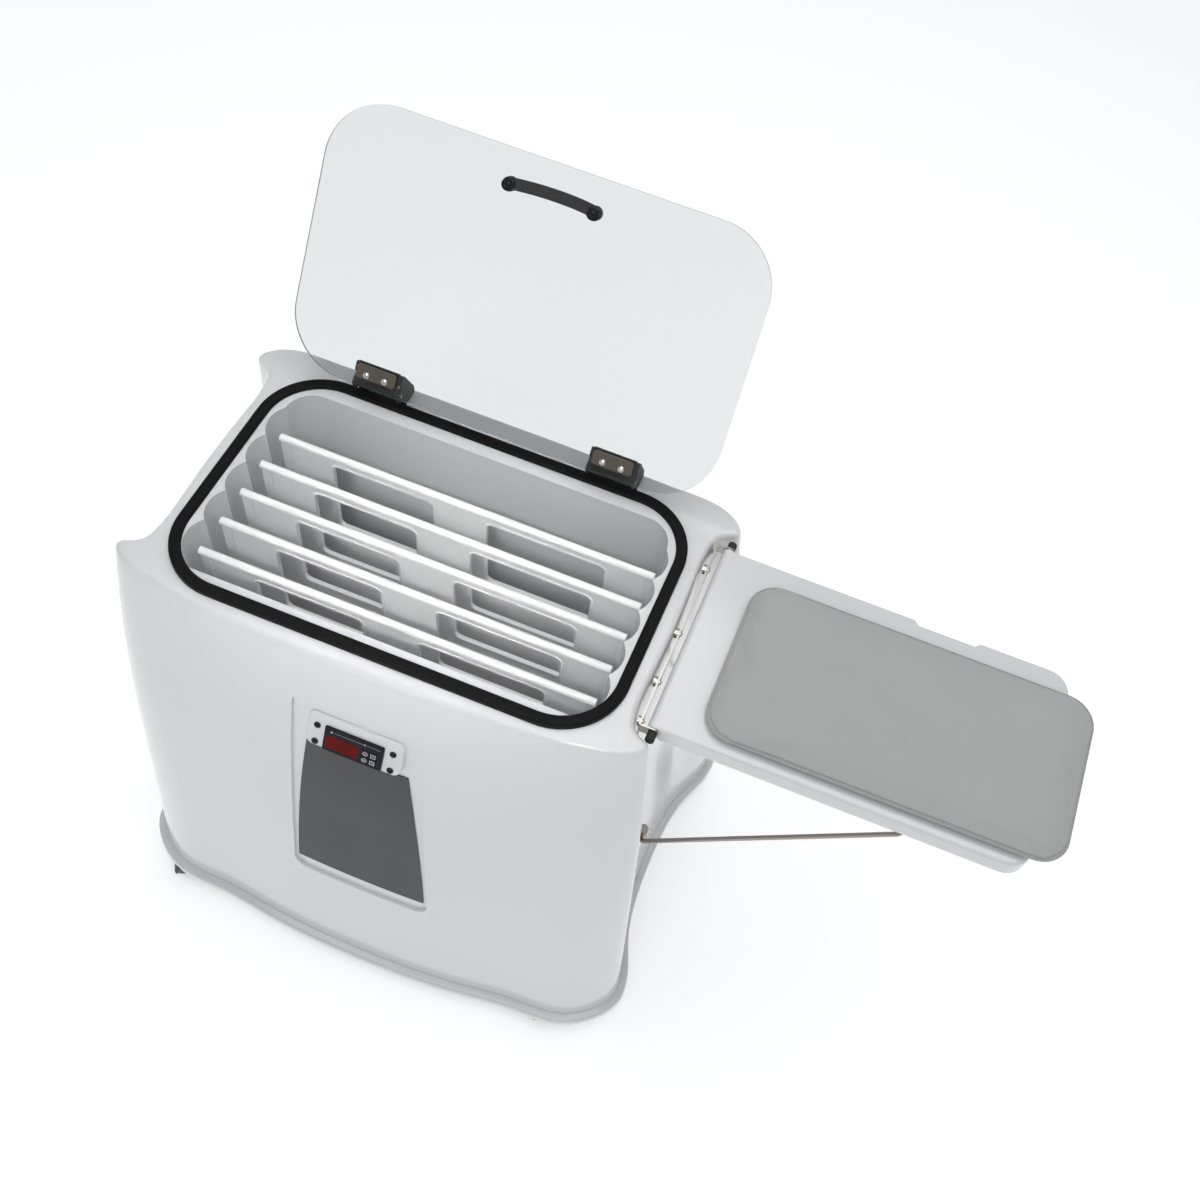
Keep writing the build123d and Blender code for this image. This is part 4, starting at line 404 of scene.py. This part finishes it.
def clear_glass(name, tint):
    """Clear glass for the lid's faces."""
    material, shader = blank_material(name)
    surface = place_group(material, "fine_surface", {"Colour": (*tint, 1.0), "Drift": 0.01})
    material.node_tree.links.new(surface.outputs["Colour"], shader.inputs["Base Color"])
    shader.inputs["Roughness"].default_value = 0.01
    shader.inputs["IOR"].default_value = 1.5
    shader.inputs["Transmission Weight"].default_value = 1.0
    return material


def made_material(name):
    """One of the object's finishes, built once from the colours."""
    found = bpy.data.materials.get(name)
    if found:
        return found
    tints = bpy.context.scene.heater_colours
    makers = {
        "white_moulding": lambda: plastic(name, tints.white, 0.16, drift=0.02, grain=0.00001,
                                          grain_scale=350.0, coat=0.4),
        "rack_plastic": lambda: plastic(name, tints.rack, 0.34),
        "tank_plastic": lambda: plastic(name, tints.tank, 0.24, grain_scale=500.0, coat=0.2),
        "gasket_rubber": lambda: plastic(name, tints.gasket, 0.6, drift=0.2, grain=0.00005,
                                         grain_scale=700.0, specular=0.14),
        "black_plastic": lambda: plastic(name, tints.black, 0.32, drift=0.2, grain=0.00004,
                                         grain_scale=1100.0, specular=0.35),
        "base_plastic": lambda: plastic(name, (0.22, 0.22, 0.23), 0.5, drift=0.1, grain=0.00005),
        "foam_jacket": lambda: plastic(name, (0.70, 0.66, 0.55), 0.9, drift=0.2, grain=0.0004,
                                       grain_scale=260.0),
        "caster_plastic": lambda: plastic(name, tints.caster, 0.4, drift=0.15, grain=0.00004),
        "panel_film": lambda: plastic(name, tints.panel, 0.45, grain=0.00003, grain_scale=1300.0,
                                      specular=0.3),
        "thermostat_face": lambda: plastic(name, tints.face, 0.25, drift=0.1, grain=0.00001, specular=0.2),
        "key_film": lambda: plastic(name, tuple(c * 1.3 for c in tints.face), 0.4, drift=0.1, specular=0.2),
        "display_window": lambda: plastic(name, tints.display, 0.2, drift=0.25, grain=0.0, specular=0.05),
        "display_digits": lambda: plastic(name, tints.digits, 0.3, drift=0.1, grain=0.0, specular=0.15),
        "printed_marks": lambda: plastic(name, tints.print_white, 0.5, drift=0.05, grain=0.0, specular=0.2),
        "nickel_plate": lambda: metal(name, tints.nickel, 0.24, stretch=(60.0, 500.0, 60.0)),
        "drawn_wire": lambda: metal(name, tints.wire, 0.32, stretch=(500.0, 60.0, 500.0)),
        "bright_screw": lambda: metal(name, (0.72, 0.70, 0.68), 0.14),
        "black_screw": lambda: plastic(name, (0.008, 0.008, 0.009), 0.28, drift=0.1, specular=0.3),
        "clamp_steel": lambda: metal(name, tints.clamp, 0.30, stretch=(500.0, 60.0, 60.0)),
        "stainless": lambda: metal(name, (0.60, 0.60, 0.59), 0.28),
        "bare_brass": lambda: metal(name, (0.70, 0.50, 0.20), 0.26),
        "red_enamel": lambda: plastic(name, (0.42, 0.02, 0.015), 0.3, drift=0.05),
        "pack_cloth": lambda: cloth(name, tints.pack, threads=420.0, contrast=0.07),
        "pack_thread": lambda: cloth(name, tuple(c * 0.8 for c in tints.pack), threads=900.0, contrast=0.1),
        "lid_glass": lambda: clear_glass(name, tints.glass),
        "glass_edge": lambda: plastic(name, tints.glass_edge, 0.12, drift=0.1, grain=0.0, coat=0.5),
    }
    return makers[name]()


# ---------------------------------------------------------------- building pieces
def link_piece(name, mesh, material, body, node=None):
    """Object at the origin from a finished mesh, riding on a body and standing for a node if one is named."""
    piece = bpy.data.objects.new(name, mesh)
    bpy.context.scene.collection.objects.link(piece)
    if not mesh.materials:
        mesh.materials.append(made_material(material))
    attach(piece, body)
    if node:
        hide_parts(node)
    return piece


def finished_mesh(bm, name):
    """Turn bmesh data into a mesh and free it."""
    mesh = bpy.data.meshes.new(name)
    bm.to_mesh(mesh)
    bm.free()
    return mesh


def join_rings(bm, rings):
    """Faces between each ring of vertices and the next, the last one back to the first."""
    for a, b in zip(rings, rings[1:] + rings[:1]):
        for i in range(len(a)):
            bm.faces.new((a[i], a[(i + 1) % len(a)], b[(i + 1) % len(a)], b[i]))


def merged_mesh(node, name, sharp=SHARP_ANGLE, dissolve=0.4):
    """Copy of a node's mesh with its loose triangles joined and its sharp edges marked."""
    source = frame["nodes"][node].data
    bm = bmesh.new()
    bm.from_mesh(source)
    bmesh.ops.remove_doubles(bm, verts=bm.verts[:], dist=MERGE_DISTANCE)
    bmesh.ops.dissolve_degenerate(bm, edges=bm.edges[:], dist=SHORTEST_EDGE)
    if dissolve:
        bmesh.ops.dissolve_limit(bm, angle_limit=math.radians(dissolve), verts=bm.verts[:], edges=bm.edges[:])
    for face in bm.faces:
        face.smooth = True
        face.material_index = 0
    for edge in bm.edges:
        edge.smooth = edge.calc_face_angle(0.0) < math.radians(sharp)
    return finished_mesh(bm, name)


def dressed(node, material, edge=0.0, sharp=SHARP_ANGLE):
    """A node's own shape with smooth shading and softened edges, in its finish."""
    body = frame["nodes"][node]["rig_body"]
    piece = link_piece(node + "_finish", merged_mesh(node, node + "_finish", sharp), material, body, node)
    if edge:
        soften = piece.modifiers.new("soft_edges", "BEVEL")
        soften.width = edge
        soften.segments = BEVEL_SEGMENTS
        soften.limit_method = "ANGLE"
        soften.angle_limit = math.radians(sharp)
        soften.use_clamp_overlap = True
        soften.harden_normals = True
    return piece


def coloured(node, material):
    """Give a CAD node its finish without a new piece."""
    mesh = frame["nodes"][node].data
    mesh.materials.clear()
    mesh.materials.append(made_material(material))


def evaluated_mesh(piece, name):
    """Plain mesh of a piece with its modifiers applied."""
    graph = bpy.context.evaluated_depsgraph_get()
    mesh = bpy.data.meshes.new_from_object(piece.evaluated_get(graph))
    mesh.name = name
    return mesh


def face_point(u, v, w):
    """Point on the thermostat's face: u to the right, v up the face, w out of it."""
    up = Vector((0.0, math.sin(FACE_TILT), math.cos(FACE_TILT)))
    out = Vector((0.0, -math.cos(FACE_TILT), math.sin(FACE_TILT)))
    return FACE_MIDDLE + Vector((u, 0.0, 0.0)) + up * v + out * w


def raised_print(name, outlines, height, base, material, body):
    """Thin raised print on the thermostat from pairs of outlines: an outer one and its hole, or None."""
    bm = bmesh.new()
    for outer, hole in outlines:
        if hole:
            rings = []
            for points, w in ((outer, base), (outer, base + height), (hole, base + height), (hole, base)):
                rings.append([bm.verts.new(face_point(u, v, w)) for u, v in points])
            join_rings(bm, rings)
        else:
            low = [bm.verts.new(face_point(u, v, base)) for u, v in outer]
            high = [bm.verts.new(face_point(u, v, base + height)) for u, v in outer]
            bm.faces.new(low[::-1])
            bm.faces.new(high)
            for i in range(len(outer)):
                bm.faces.new((low[i], low[(i + 1) % len(outer)], high[(i + 1) % len(outer)], high[i]))
    bmesh.ops.recalc_face_normals(bm, faces=bm.faces[:])
    return link_piece(name, finished_mesh(bm, name), material, body)


def rounded_loop(u, v, width, height, radius, steps=5):
    """Points of a rounded rectangle, anticlockwise."""
    points = []
    for k, (sx, sy) in enumerate(((1, 1), (-1, 1), (-1, -1), (1, -1))):
        for i in range(steps + 1):
            angle = math.radians(90 * k + 90 * i / steps)
            points.append((u + sx * (width / 2 - radius) + radius * math.cos(angle),
                           v + sy * (height / 2 - radius) + radius * math.sin(angle)))
    return points


class Maker:
    """Shared by the heater's operators: each one's make builds its pieces"""
    bl_options = {"REGISTER", "UNDO"}

    def execute(self, context):
        """Build this operator's pieces with the scene's sizes."""
        self.make(context.scene.heater_sizes)
        return {"FINISHED"}


# ---------------------------------------------------------------- cabinet
class HEATER_OT_cabinet(Maker, bpy.types.Operator):
    """Glossy white moulding, its base plate and foam jacket"""
    bl_idname = "heater.cabinet"
    bl_label = "Cabinet"

    def make(self, sizes):
        dressed("cabinet_shell", "white_moulding", sharp=MOULDED_ANGLE)
        coloured("base_plate", "base_plastic")
        coloured("tank_insulation", "foam_jacket")


class HEATER_OT_tank(Maker, bpy.types.Operator):
    """Water tank, its rubber ring, the stand and the heater in it"""
    bl_idname = "heater.tank"
    bl_label = "Tank"

    def make(self, sizes):
        dressed("tank_liner", "tank_plastic", sharp=TANK_ANGLE)
        dressed("lid_gasket", "gasket_rubber")
        dressed("rack_stand", "stainless", sizes.metal_edge)
        dressed("heating_element", "stainless")
        dressed("thermostat_probe", "stainless")
        for node in ("element_nuts", "drain_valve"):
            dressed(node, "bare_brass", sizes.metal_edge)
        coloured("thermal_cutout", "stainless")


class HEATER_OT_racks(Maker, bpy.types.Operator):
    """Five white lift-out racks"""
    bl_idname = "heater.racks"
    bl_label = "Racks"

    def make(self, sizes):
        for node in sorted(frame["nodes"]):
            if node.startswith("rack_") and node != "rack_stand":
                dressed(node, "rack_plastic", sizes.rack_edge)


# ---------------------------------------------------------------- lid
class HEATER_OT_lid(Maker, bpy.types.Operator):
    """Glass pane with its green cut edge, handle, clamps and hinges"""
    bl_idname = "heater.lid"
    bl_label = "Lid"

    def make(self, sizes):
        pane = dressed("lid_glass", "lid_glass", sharp=GLASS_ANGLE)
        pane.data.materials.append(made_material("glass_edge"))
        flat = max(pane.data.polygons, key=lambda p: p.area).normal.copy()
        for polygon in pane.data.polygons:
            if abs(polygon.normal.dot(flat)) < 0.5:
                polygon.material_index = 1
        for node in ("lid_handle", "hinge_leaf_right", "hinge_leaf_left", "hinge_base_right",
                     "hinge_base_left"):
            dressed(node, "black_plastic", 2 * sizes.metal_edge)
        for node in ("clamp_plate_right", "clamp_plate_left"):
            dressed(node, "clamp_steel", sizes.metal_edge)
        for node in ("clamp_screws", "hinge_pins", "hinge_base_screws"):
            dressed(node, "bright_screw", sizes.metal_edge)
        dressed("handle_screws", "black_screw", sizes.metal_edge)


# ---------------------------------------------------------------- thermostat and panel
def digit_bars(u, v, height, slant=0.12):
    """Outlines of the seven bars of one digit whose lower left corner is (u, v)."""
    width, thick, gap = (height * share for share in DIGIT_SHARES)
    half = height / 2
    bars = []
    for x0, y0, x1, y1 in ((0, height, width, height), (0, half, width, half), (0, 0, width, 0),
                           (0, half, 0, height), (width, half, width, height), (0, 0, 0, half),
                           (width, 0, width, half)):
        along = Vector((x1 - x0, y1 - y0)).normalized()
        side = Vector((-along.y, along.x))
        start = Vector((x0, y0)) + along * (thick / 2 + gap)
        end = Vector((x1, y1)) - along * (thick / 2 + gap)
        points = [start, start + (along - side) * thick / 2, end - (along + side) * thick / 2, end,
                  end - (along - side) * thick / 2, start + (along + side) * thick / 2]
        bars.append(([(u + p.x + p.y * slant, v + p.y) for p in points], None))
    return bars


class HEATER_OT_thermostat(Maker, bpy.types.Operator):
    """Bezel, thermostat, display digits, keys and their printing"""
    bl_idname = "heater.thermostat"
    bl_label = "Thermostat"

    def make(self, sizes):
        dressed("control_bezel", "white_moulding", sizes.metal_edge, sharp=MOULDED_ANGLE)
        dressed("thermostat_body", "thermostat_face", FACE_EDGE)
        dressed("display_window", "display_window", WINDOW_EDGE)
        dressed("bezel_screws", "black_screw", sizes.metal_edge)
        bars = []
        for i in range(DIGIT_COUNT):
            bars += digit_bars(FIRST_DIGIT_U + DIGIT_PITCH * i, DIGIT_MIDDLE_V - sizes.digit_height / 2,
                               sizes.digit_height)
        bars.append((rounded_loop(*DECIMAL_POINT), None))
        raised_print("display_digits", bars, DIGIT_THICKNESS, 0.0, "display_digits", "cabinet")
        marks = [(rounded_loop(*mark), None) for mark in FACE_MARKS]
        raised_print("thermostat_marks", marks, MARK_THICKNESS, 0.0, "printed_marks", "cabinet")
        for i, (u, v) in enumerate(KEY_SPOTS, 1):
            dressed(f"key_{i}", "key_film", KEY_EDGE)
            radius = ROUND_KEY_RADIUS if i in ROUND_KEYS else SQUARE_KEY_RADIUS
            rim = sizes.outline_width
            outline = (rounded_loop(u, v, KEY_PRINT_WIDTH, KEY_PRINT_HEIGHT, radius),
                       rounded_loop(u, v, KEY_PRINT_WIDTH - 2 * rim, KEY_PRINT_HEIGHT - 2 * rim,
                                    radius - rim))
            bar = (rounded_loop(u, v, KEY_BAR_WIDTH, rim, rim / KEY_BAR_ROUNDING), None)
            raised_print(f"key_{i}_outline", [outline, bar], KEY_PRINT_THICKNESS, KEY_TOP, "printed_marks",
                         f"key_{i}_body")


class HEATER_OT_front_panel(Maker, bpy.types.Operator):
    """Dark cover plate below the thermostat, left bare"""
    bl_idname = "heater.front_panel"
    bl_label = "Front Panel"

    def make(self, sizes):
        dressed("front_panel", "panel_film", PANEL_EDGE, sharp=MOULDED_ANGLE)


# ---------------------------------------------------------------- shelf
class HEATER_OT_shelf(Maker, bpy.types.Operator):
    """Fold-down shelf with its rail, rod, caps and wire strut"""
    bl_idname = "heater.shelf"
    bl_label = "Side Shelf"

    def make(self, sizes):
        dressed("side_shelf", "white_moulding", sizes.moulded_edge, sharp=MOULDED_ANGLE)
        for node in ("shelf_rail", "shelf_hinge_rod", "strut_brackets"):
            dressed(node, "nickel_plate", sizes.metal_edge)
        dressed("shelf_rail_screws", "bright_screw", sizes.metal_edge)
        dressed("shelf_rod_caps", "black_plastic")
        dressed("shelf_strut", "drawn_wire")


# ---------------------------------------------------------------- hot pack
def swollen_pad(node, start, cap, voxel=5.0 * MM, pressure=4.0, frames=20):
    """The pack's solid, shrunk, remeshed and swollen by cloth pressure; no point moves further than cap."""
    mesh = merged_mesh(node, "pack_pad", dissolve=0.0)
    low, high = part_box(node)
    middle = (low + high) / 2
    size = high - low
    for vertex in mesh.vertices:
        offset = vertex.co - middle
        vertex.co = middle + Vector(o * (1 - 2 * start / s) for o, s in zip(offset, size))
    pad = bpy.data.objects.new("pack_pad", mesh)
    bpy.context.scene.collection.objects.link(pad)
    remesh = pad.modifiers.new("remesh", "REMESH")
    remesh.mode = "VOXEL"
    remesh.voxel_size = voxel
    remeshed = evaluated_mesh(pad, "pack_pad_remeshed")
    pad.modifiers.clear()
    pad.data = remeshed
    rest = [v.co.copy() for v in pad.data.vertices]
    blow = pad.modifiers.new("swell", "CLOTH")
    blow.settings.use_pressure = True
    blow.settings.uniform_pressure_force = pressure
    blow.settings.effector_weights.gravity = 0.0
    blow.point_cache.frame_start = 1
    blow.point_cache.frame_end = frames
    for step in range(1, frames + 1):
        bpy.context.scene.frame_set(step)
    swollen = evaluated_mesh(pad, "pack_pad_swollen")
    pad.modifiers.clear()
    bpy.context.scene.frame_set(1)
    for vertex, before in zip(swollen.vertices, rest):
        move = vertex.co - before
        if move.length > cap:
            move *= cap / move.length
        vertex.co = before + move
        vertex.co.z = max(vertex.co.z, low.z)
    pad.data = swollen
    for polygon in pad.data.polygons:
        polygon.use_smooth = True
    return pad


def stitch_tree():
    """Geometry Nodes: stitches at even spacing along a curve."""
    tree = bpy.data.node_groups.new("seam_stitches", "GeometryNodeTree")
    new_socket = tree.interface.new_socket
    new_socket("Geometry", in_out="INPUT", socket_type="NodeSocketGeometry")
    new_socket("Count", in_out="INPUT", socket_type="NodeSocketInt")
    new_socket("Stitch Length", in_out="INPUT", socket_type="NodeSocketFloat")
    new_socket("Thread Radius", in_out="INPUT", socket_type="NodeSocketFloat")
    new_socket("Material", in_out="INPUT", socket_type="NodeSocketMaterial")
    new_socket("Geometry", in_out="OUTPUT", socket_type="NodeSocketGeometry")
    add, link = tree.nodes.new, tree.links.new
    given, result = add("NodeGroupInput"), add("NodeGroupOutput")
    points = add("GeometryNodeCurveToPoints")
    points.mode = "COUNT"
    link(given.outputs["Geometry"], points.inputs["Curve"])
    link(given.outputs["Count"], points.inputs["Count"])
    thread = add("GeometryNodeMeshUVSphere")
    thread.inputs["Segments"].default_value = 8
    thread.inputs["Rings"].default_value = 6
    link(given.outputs["Thread Radius"], thread.inputs["Radius"])
    ratio = add("ShaderNodeMath")
    ratio.operation = "DIVIDE"
    link(given.outputs["Stitch Length"], ratio.inputs[0])
    link(given.outputs["Thread Radius"], ratio.inputs[1])
    halved = add("ShaderNodeMath")
    halved.operation = "MULTIPLY"
    halved.inputs[1].default_value = 0.5
    link(ratio.outputs[0], halved.inputs[0])
    scale = add("ShaderNodeCombineXYZ")
    scale.inputs["X"].default_value = 1.0
    scale.inputs["Y"].default_value = 1.0
    link(halved.outputs[0], scale.inputs["Z"])
    turned = add("FunctionNodeAlignRotationToVector")
    turned.axis = "Z"
    link(points.outputs["Tangent"], turned.inputs["Vector"])
    put = add("GeometryNodeInstanceOnPoints")
    link(points.outputs["Points"], put.inputs["Points"])
    link(thread.outputs["Mesh"], put.inputs["Instance"])
    link(turned.outputs["Rotation"], put.inputs["Rotation"])
    link(scale.outputs["Vector"], put.inputs["Scale"])
    real = add("GeometryNodeRealizeInstances")
    link(put.outputs["Instances"], real.inputs["Geometry"])
    finish = add("GeometryNodeSetMaterial")
    link(real.outputs["Geometry"], finish.inputs["Geometry"])
    link(given.outputs["Material"], finish.inputs["Material"])
    link(finish.outputs["Geometry"], result.inputs["Geometry"])
    return tree


def set_inputs(modifier, values):
    """Set a Geometry Nodes modifier's inputs through their socket identifiers."""
    for item in modifier.node_group.interface.items_tree:
        if item.item_type == "SOCKET" and item.in_out == "INPUT" and item.name in values:
            modifier[item.identifier] = values[item.name]


def pack_loop(low, high, inset, radius, steps):
    """Rounded outline that stays an inset inside the pack's box."""
    middle, size = (low + high) / 2, high - low
    return rounded_loop(middle.x, middle.y, size.x - 2 * inset, size.y - 2 * inset, radius, steps)


def seam_curve(name, low, high, inset, z, radius):
    """Closed curve round the pack's outline."""
    loop = pack_loop(low, high, inset, radius, steps=8)
    data = bpy.data.curves.new(name, "CURVE")
    data.dimensions = "3D"
    spline = data.splines.new("POLY")
    spline.points.add(len(loop) - 1)
    for point, (x, y) in zip(spline.points, loop):
        point.co = (x, y, z, 1.0)
    spline.use_cyclic_u = True
    curve = bpy.data.objects.new(name, data)
    bpy.context.scene.collection.objects.link(curve)
    return curve


def seam_band(name, low, high, z, sizes):
    """Flat welded band round the pack's outline."""
    rings = []
    bm = bmesh.new()
    rounded, inner = SEAM_ROUNDING, sizes.seam_width
    for step, lift in ((rounded, -0.5), (0.0, 0.0), (rounded, 0.5), (inner, 0.5), (inner, -0.5)):
        inset = sizes.seam_inset + step
        loop = pack_loop(low, high, inset, PACK_CORNER - inset, steps=10)
        rings.append([bm.verts.new((x, y, z + lift * sizes.seam_thickness)) for x, y in loop])
    join_rings(bm, rings)
    bmesh.ops.recalc_face_normals(bm, faces=bm.faces[:])
    for face in bm.faces:
        face.smooth = True
    return link_piece(name, finished_mesh(bm, name), "pack_cloth", "pack")


class HEATER_OT_hot_pack(Maker, bpy.types.Operator):
    """Swollen cloth pack with its welded seam and stitches"""
    bl_idname = "heater.hot_pack"
    bl_label = "Hot Pack"

    def make(self, sizes):
        low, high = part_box("hot_pack")
        pad = swollen_pad("hot_pack", sizes.pad_start, sizes.pad_cap)
        pad.data.materials.clear()
        pad.data.materials.append(made_material("pack_cloth"))
        soft = pad.modifiers.new("subdivision", "SUBSURF")
        soft.levels = 1
        soft.render_levels = 1
        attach(pad, "pack")
        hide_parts("hot_pack")
        seam_z = low.z + SEAM_HEIGHT
        band = seam_band("pack_seam", low, high, seam_z, sizes)
        line = seam_curve("pack_stitch_line", low, high, sizes.seam_inset + STITCH_INSET,
                          seam_z + sizes.seam_thickness / 2, STITCH_CORNER)
        sew = line.modifiers.new("stitches", "NODES")
        sew.node_group = stitch_tree()
        set_inputs(sew, {"Count": sizes.stitch_count, "Stitch Length": sizes.stitch_length,
                         "Thread Radius": THREAD_RADIUS, "Material": made_material("pack_thread")})
        stitches = link_piece("pack_stitches", evaluated_mesh(line, "pack_stitches"), "pack_thread", "pack")
        bpy.data.objects.remove(line)


# ---------------------------------------------------------------- casters and services
class HEATER_OT_casters(Maker, bpy.types.Operator):
    """Dark hoods and twin wheels"""
    bl_idname = "heater.casters"
    bl_label = "Casters"

    def make(self, sizes):
        for i in range(1, 5):
            dressed(f"caster_hood_{i}", "caster_plastic", sizes.metal_edge)
            dressed(f"caster_wheels_{i}", "caster_plastic")
        dressed("caster_stems", "bright_screw", sizes.metal_edge)


class HEATER_OT_services(Maker, bpy.types.Operator):
    """Drain and cord gland on the back"""
    bl_idname = "heater.services"
    bl_label = "Services"

    def make(self, sizes):
        dressed("drain_pipe", "stainless")
        dressed("drain_lever", "red_enamel", sizes.metal_edge)
        dressed("cord_gland", "black_plastic", sizes.metal_edge)


# ---------------------------------------------------------------- stage
def photo_camera(scene):
    """Camera where the photograph was taken, with its framing."""
    data = bpy.data.cameras.new("photo_camera")
    data.sensor_fit = "HORIZONTAL"
    data.sensor_width = SENSOR
    data.lens = SENSOR * FOCAL_PIXELS / PHOTO_SIDE
    data.shift_x = (PHOTO_SIDE / 2 - CENTRE_X) / PHOTO_SIDE
    data.shift_y = (CENTRE_Y - PHOTO_SIDE / 2) / PHOTO_SIDE
    data.clip_start, data.clip_end = CLIP_NEAR, CLIP_FAR
    camera = bpy.data.objects.new("photo_camera", data)
    scene.collection.objects.link(camera)
    axes = (CAMERA_RIGHT, CAMERA_UP, CAMERA_BACK, CAMERA_PLACE)
    camera.matrix_world = Matrix([[axis[i] for axis in axes] for i in range(3)] + [[0, 0, 0, 1]])
    scene.camera = camera


def studio_world(scene):
    """Even, pale surroundings."""
    world = bpy.data.worlds.new("studio")
    scene.world = world
    world.use_nodes = True
    background = world.node_tree.nodes["Background"]
    background.inputs["Color"].default_value = WORLD_COLOUR
    background.inputs["Strength"].default_value = WORLD_STRENGTH


def studio_lamp(scene, name, place, aim, size, power, spread):
    """Rectangular soft light aimed at a point."""
    light = bpy.data.lights.new(name, "AREA")
    light.shape = "RECTANGLE"
    light.size, light.size_y = size
    light.energy = power
    light.spread = math.radians(spread)
    lamp = bpy.data.objects.new(name, light)
    lamp.location = place
    lamp.rotation_euler = (Vector(aim) - Vector(place)).to_track_quat("-Z", "Y").to_euler()
    scene.collection.objects.link(lamp)


def studio_floor(scene):
    """Plain pale floor that glows a little, as a white sweep does."""
    bm = bmesh.new()
    bmesh.ops.create_grid(bm, x_segments=8, y_segments=8, size=FLOOR_SIZE)
    mesh = finished_mesh(bm, "studio_floor")
    material, shader = blank_material("studio_floor")
    surface = place_group(material, "fine_surface", {"Colour": FLOOR_COLOUR, "Drift": 0.0})
    material.node_tree.links.new(surface.outputs["Colour"], shader.inputs["Base Color"])
    shader.inputs["Roughness"].default_value = 0.85
    shader.inputs["Emission Color"].default_value = (1.0, 1.0, 1.0, 1.0)
    shader.inputs["Emission Strength"].default_value = FLOOR_GLOW
    mesh.materials.append(material)
    floor = bpy.data.objects.new("studio_floor", mesh)
    scene.collection.objects.link(floor)


class HEATER_OT_stage(Maker, bpy.types.Operator):
    """Camera, soft studio light and a plain pale floor"""
    bl_idname = "heater.stage"
    bl_label = "Stage"

    def make(self, sizes):
        scene = bpy.context.scene
        photo_camera(scene)
        studio_world(scene)
        for lamp in LAMPS:
            studio_lamp(scene, *lamp)
        studio_floor(scene)
        scene.view_settings.view_transform = "Standard"


class HEATER_PT_panel(bpy.types.Panel):
    """Lists the heater's operators and values"""
    bl_idname = "HEATER_PT_panel"
    bl_label = "Hot Pack Heater"
    bl_space_type = "VIEW_3D"
    bl_region_type = "UI"
    bl_category = "Heater"

    def draw(self, context):
        """A button for each operator, then every value."""
        for step in STEPS:
            self.layout.operator(step.bl_idname)
        for group in (context.scene.heater_sizes, context.scene.heater_colours):
            for name in group.bl_rna.properties.keys():
                if name not in ("rna_type", "name"):
                    self.layout.prop(group, name)


STEPS = (HEATER_OT_stage, HEATER_OT_cabinet, HEATER_OT_tank, HEATER_OT_racks, HEATER_OT_lid,
         HEATER_OT_thermostat, HEATER_OT_front_panel, HEATER_OT_shelf, HEATER_OT_hot_pack,
         HEATER_OT_casters, HEATER_OT_services)
CLASSES = (HeaterSizes, HeaterColours, *STEPS, HEATER_PT_panel)


def register():
    """Register the classes and hang both groups of values on the scene."""
    for item in CLASSES:
        bpy.utils.register_class(item)
    bpy.types.Scene.heater_sizes = PointerProperty(type=HeaterSizes)
    bpy.types.Scene.heater_colours = PointerProperty(type=HeaterColours)


def unregister():
    """Undo register."""
    del bpy.types.Scene.heater_colours
    del bpy.types.Scene.heater_sizes
    for item in reversed(CLASSES):
        bpy.utils.unregister_class(item)


def main():
    """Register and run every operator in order."""
    register()
    for step in STEPS:
        family, name = step.bl_idname.split(".")
        getattr(getattr(bpy.ops, family), name)()


if __name__ == "__main__":
    main()
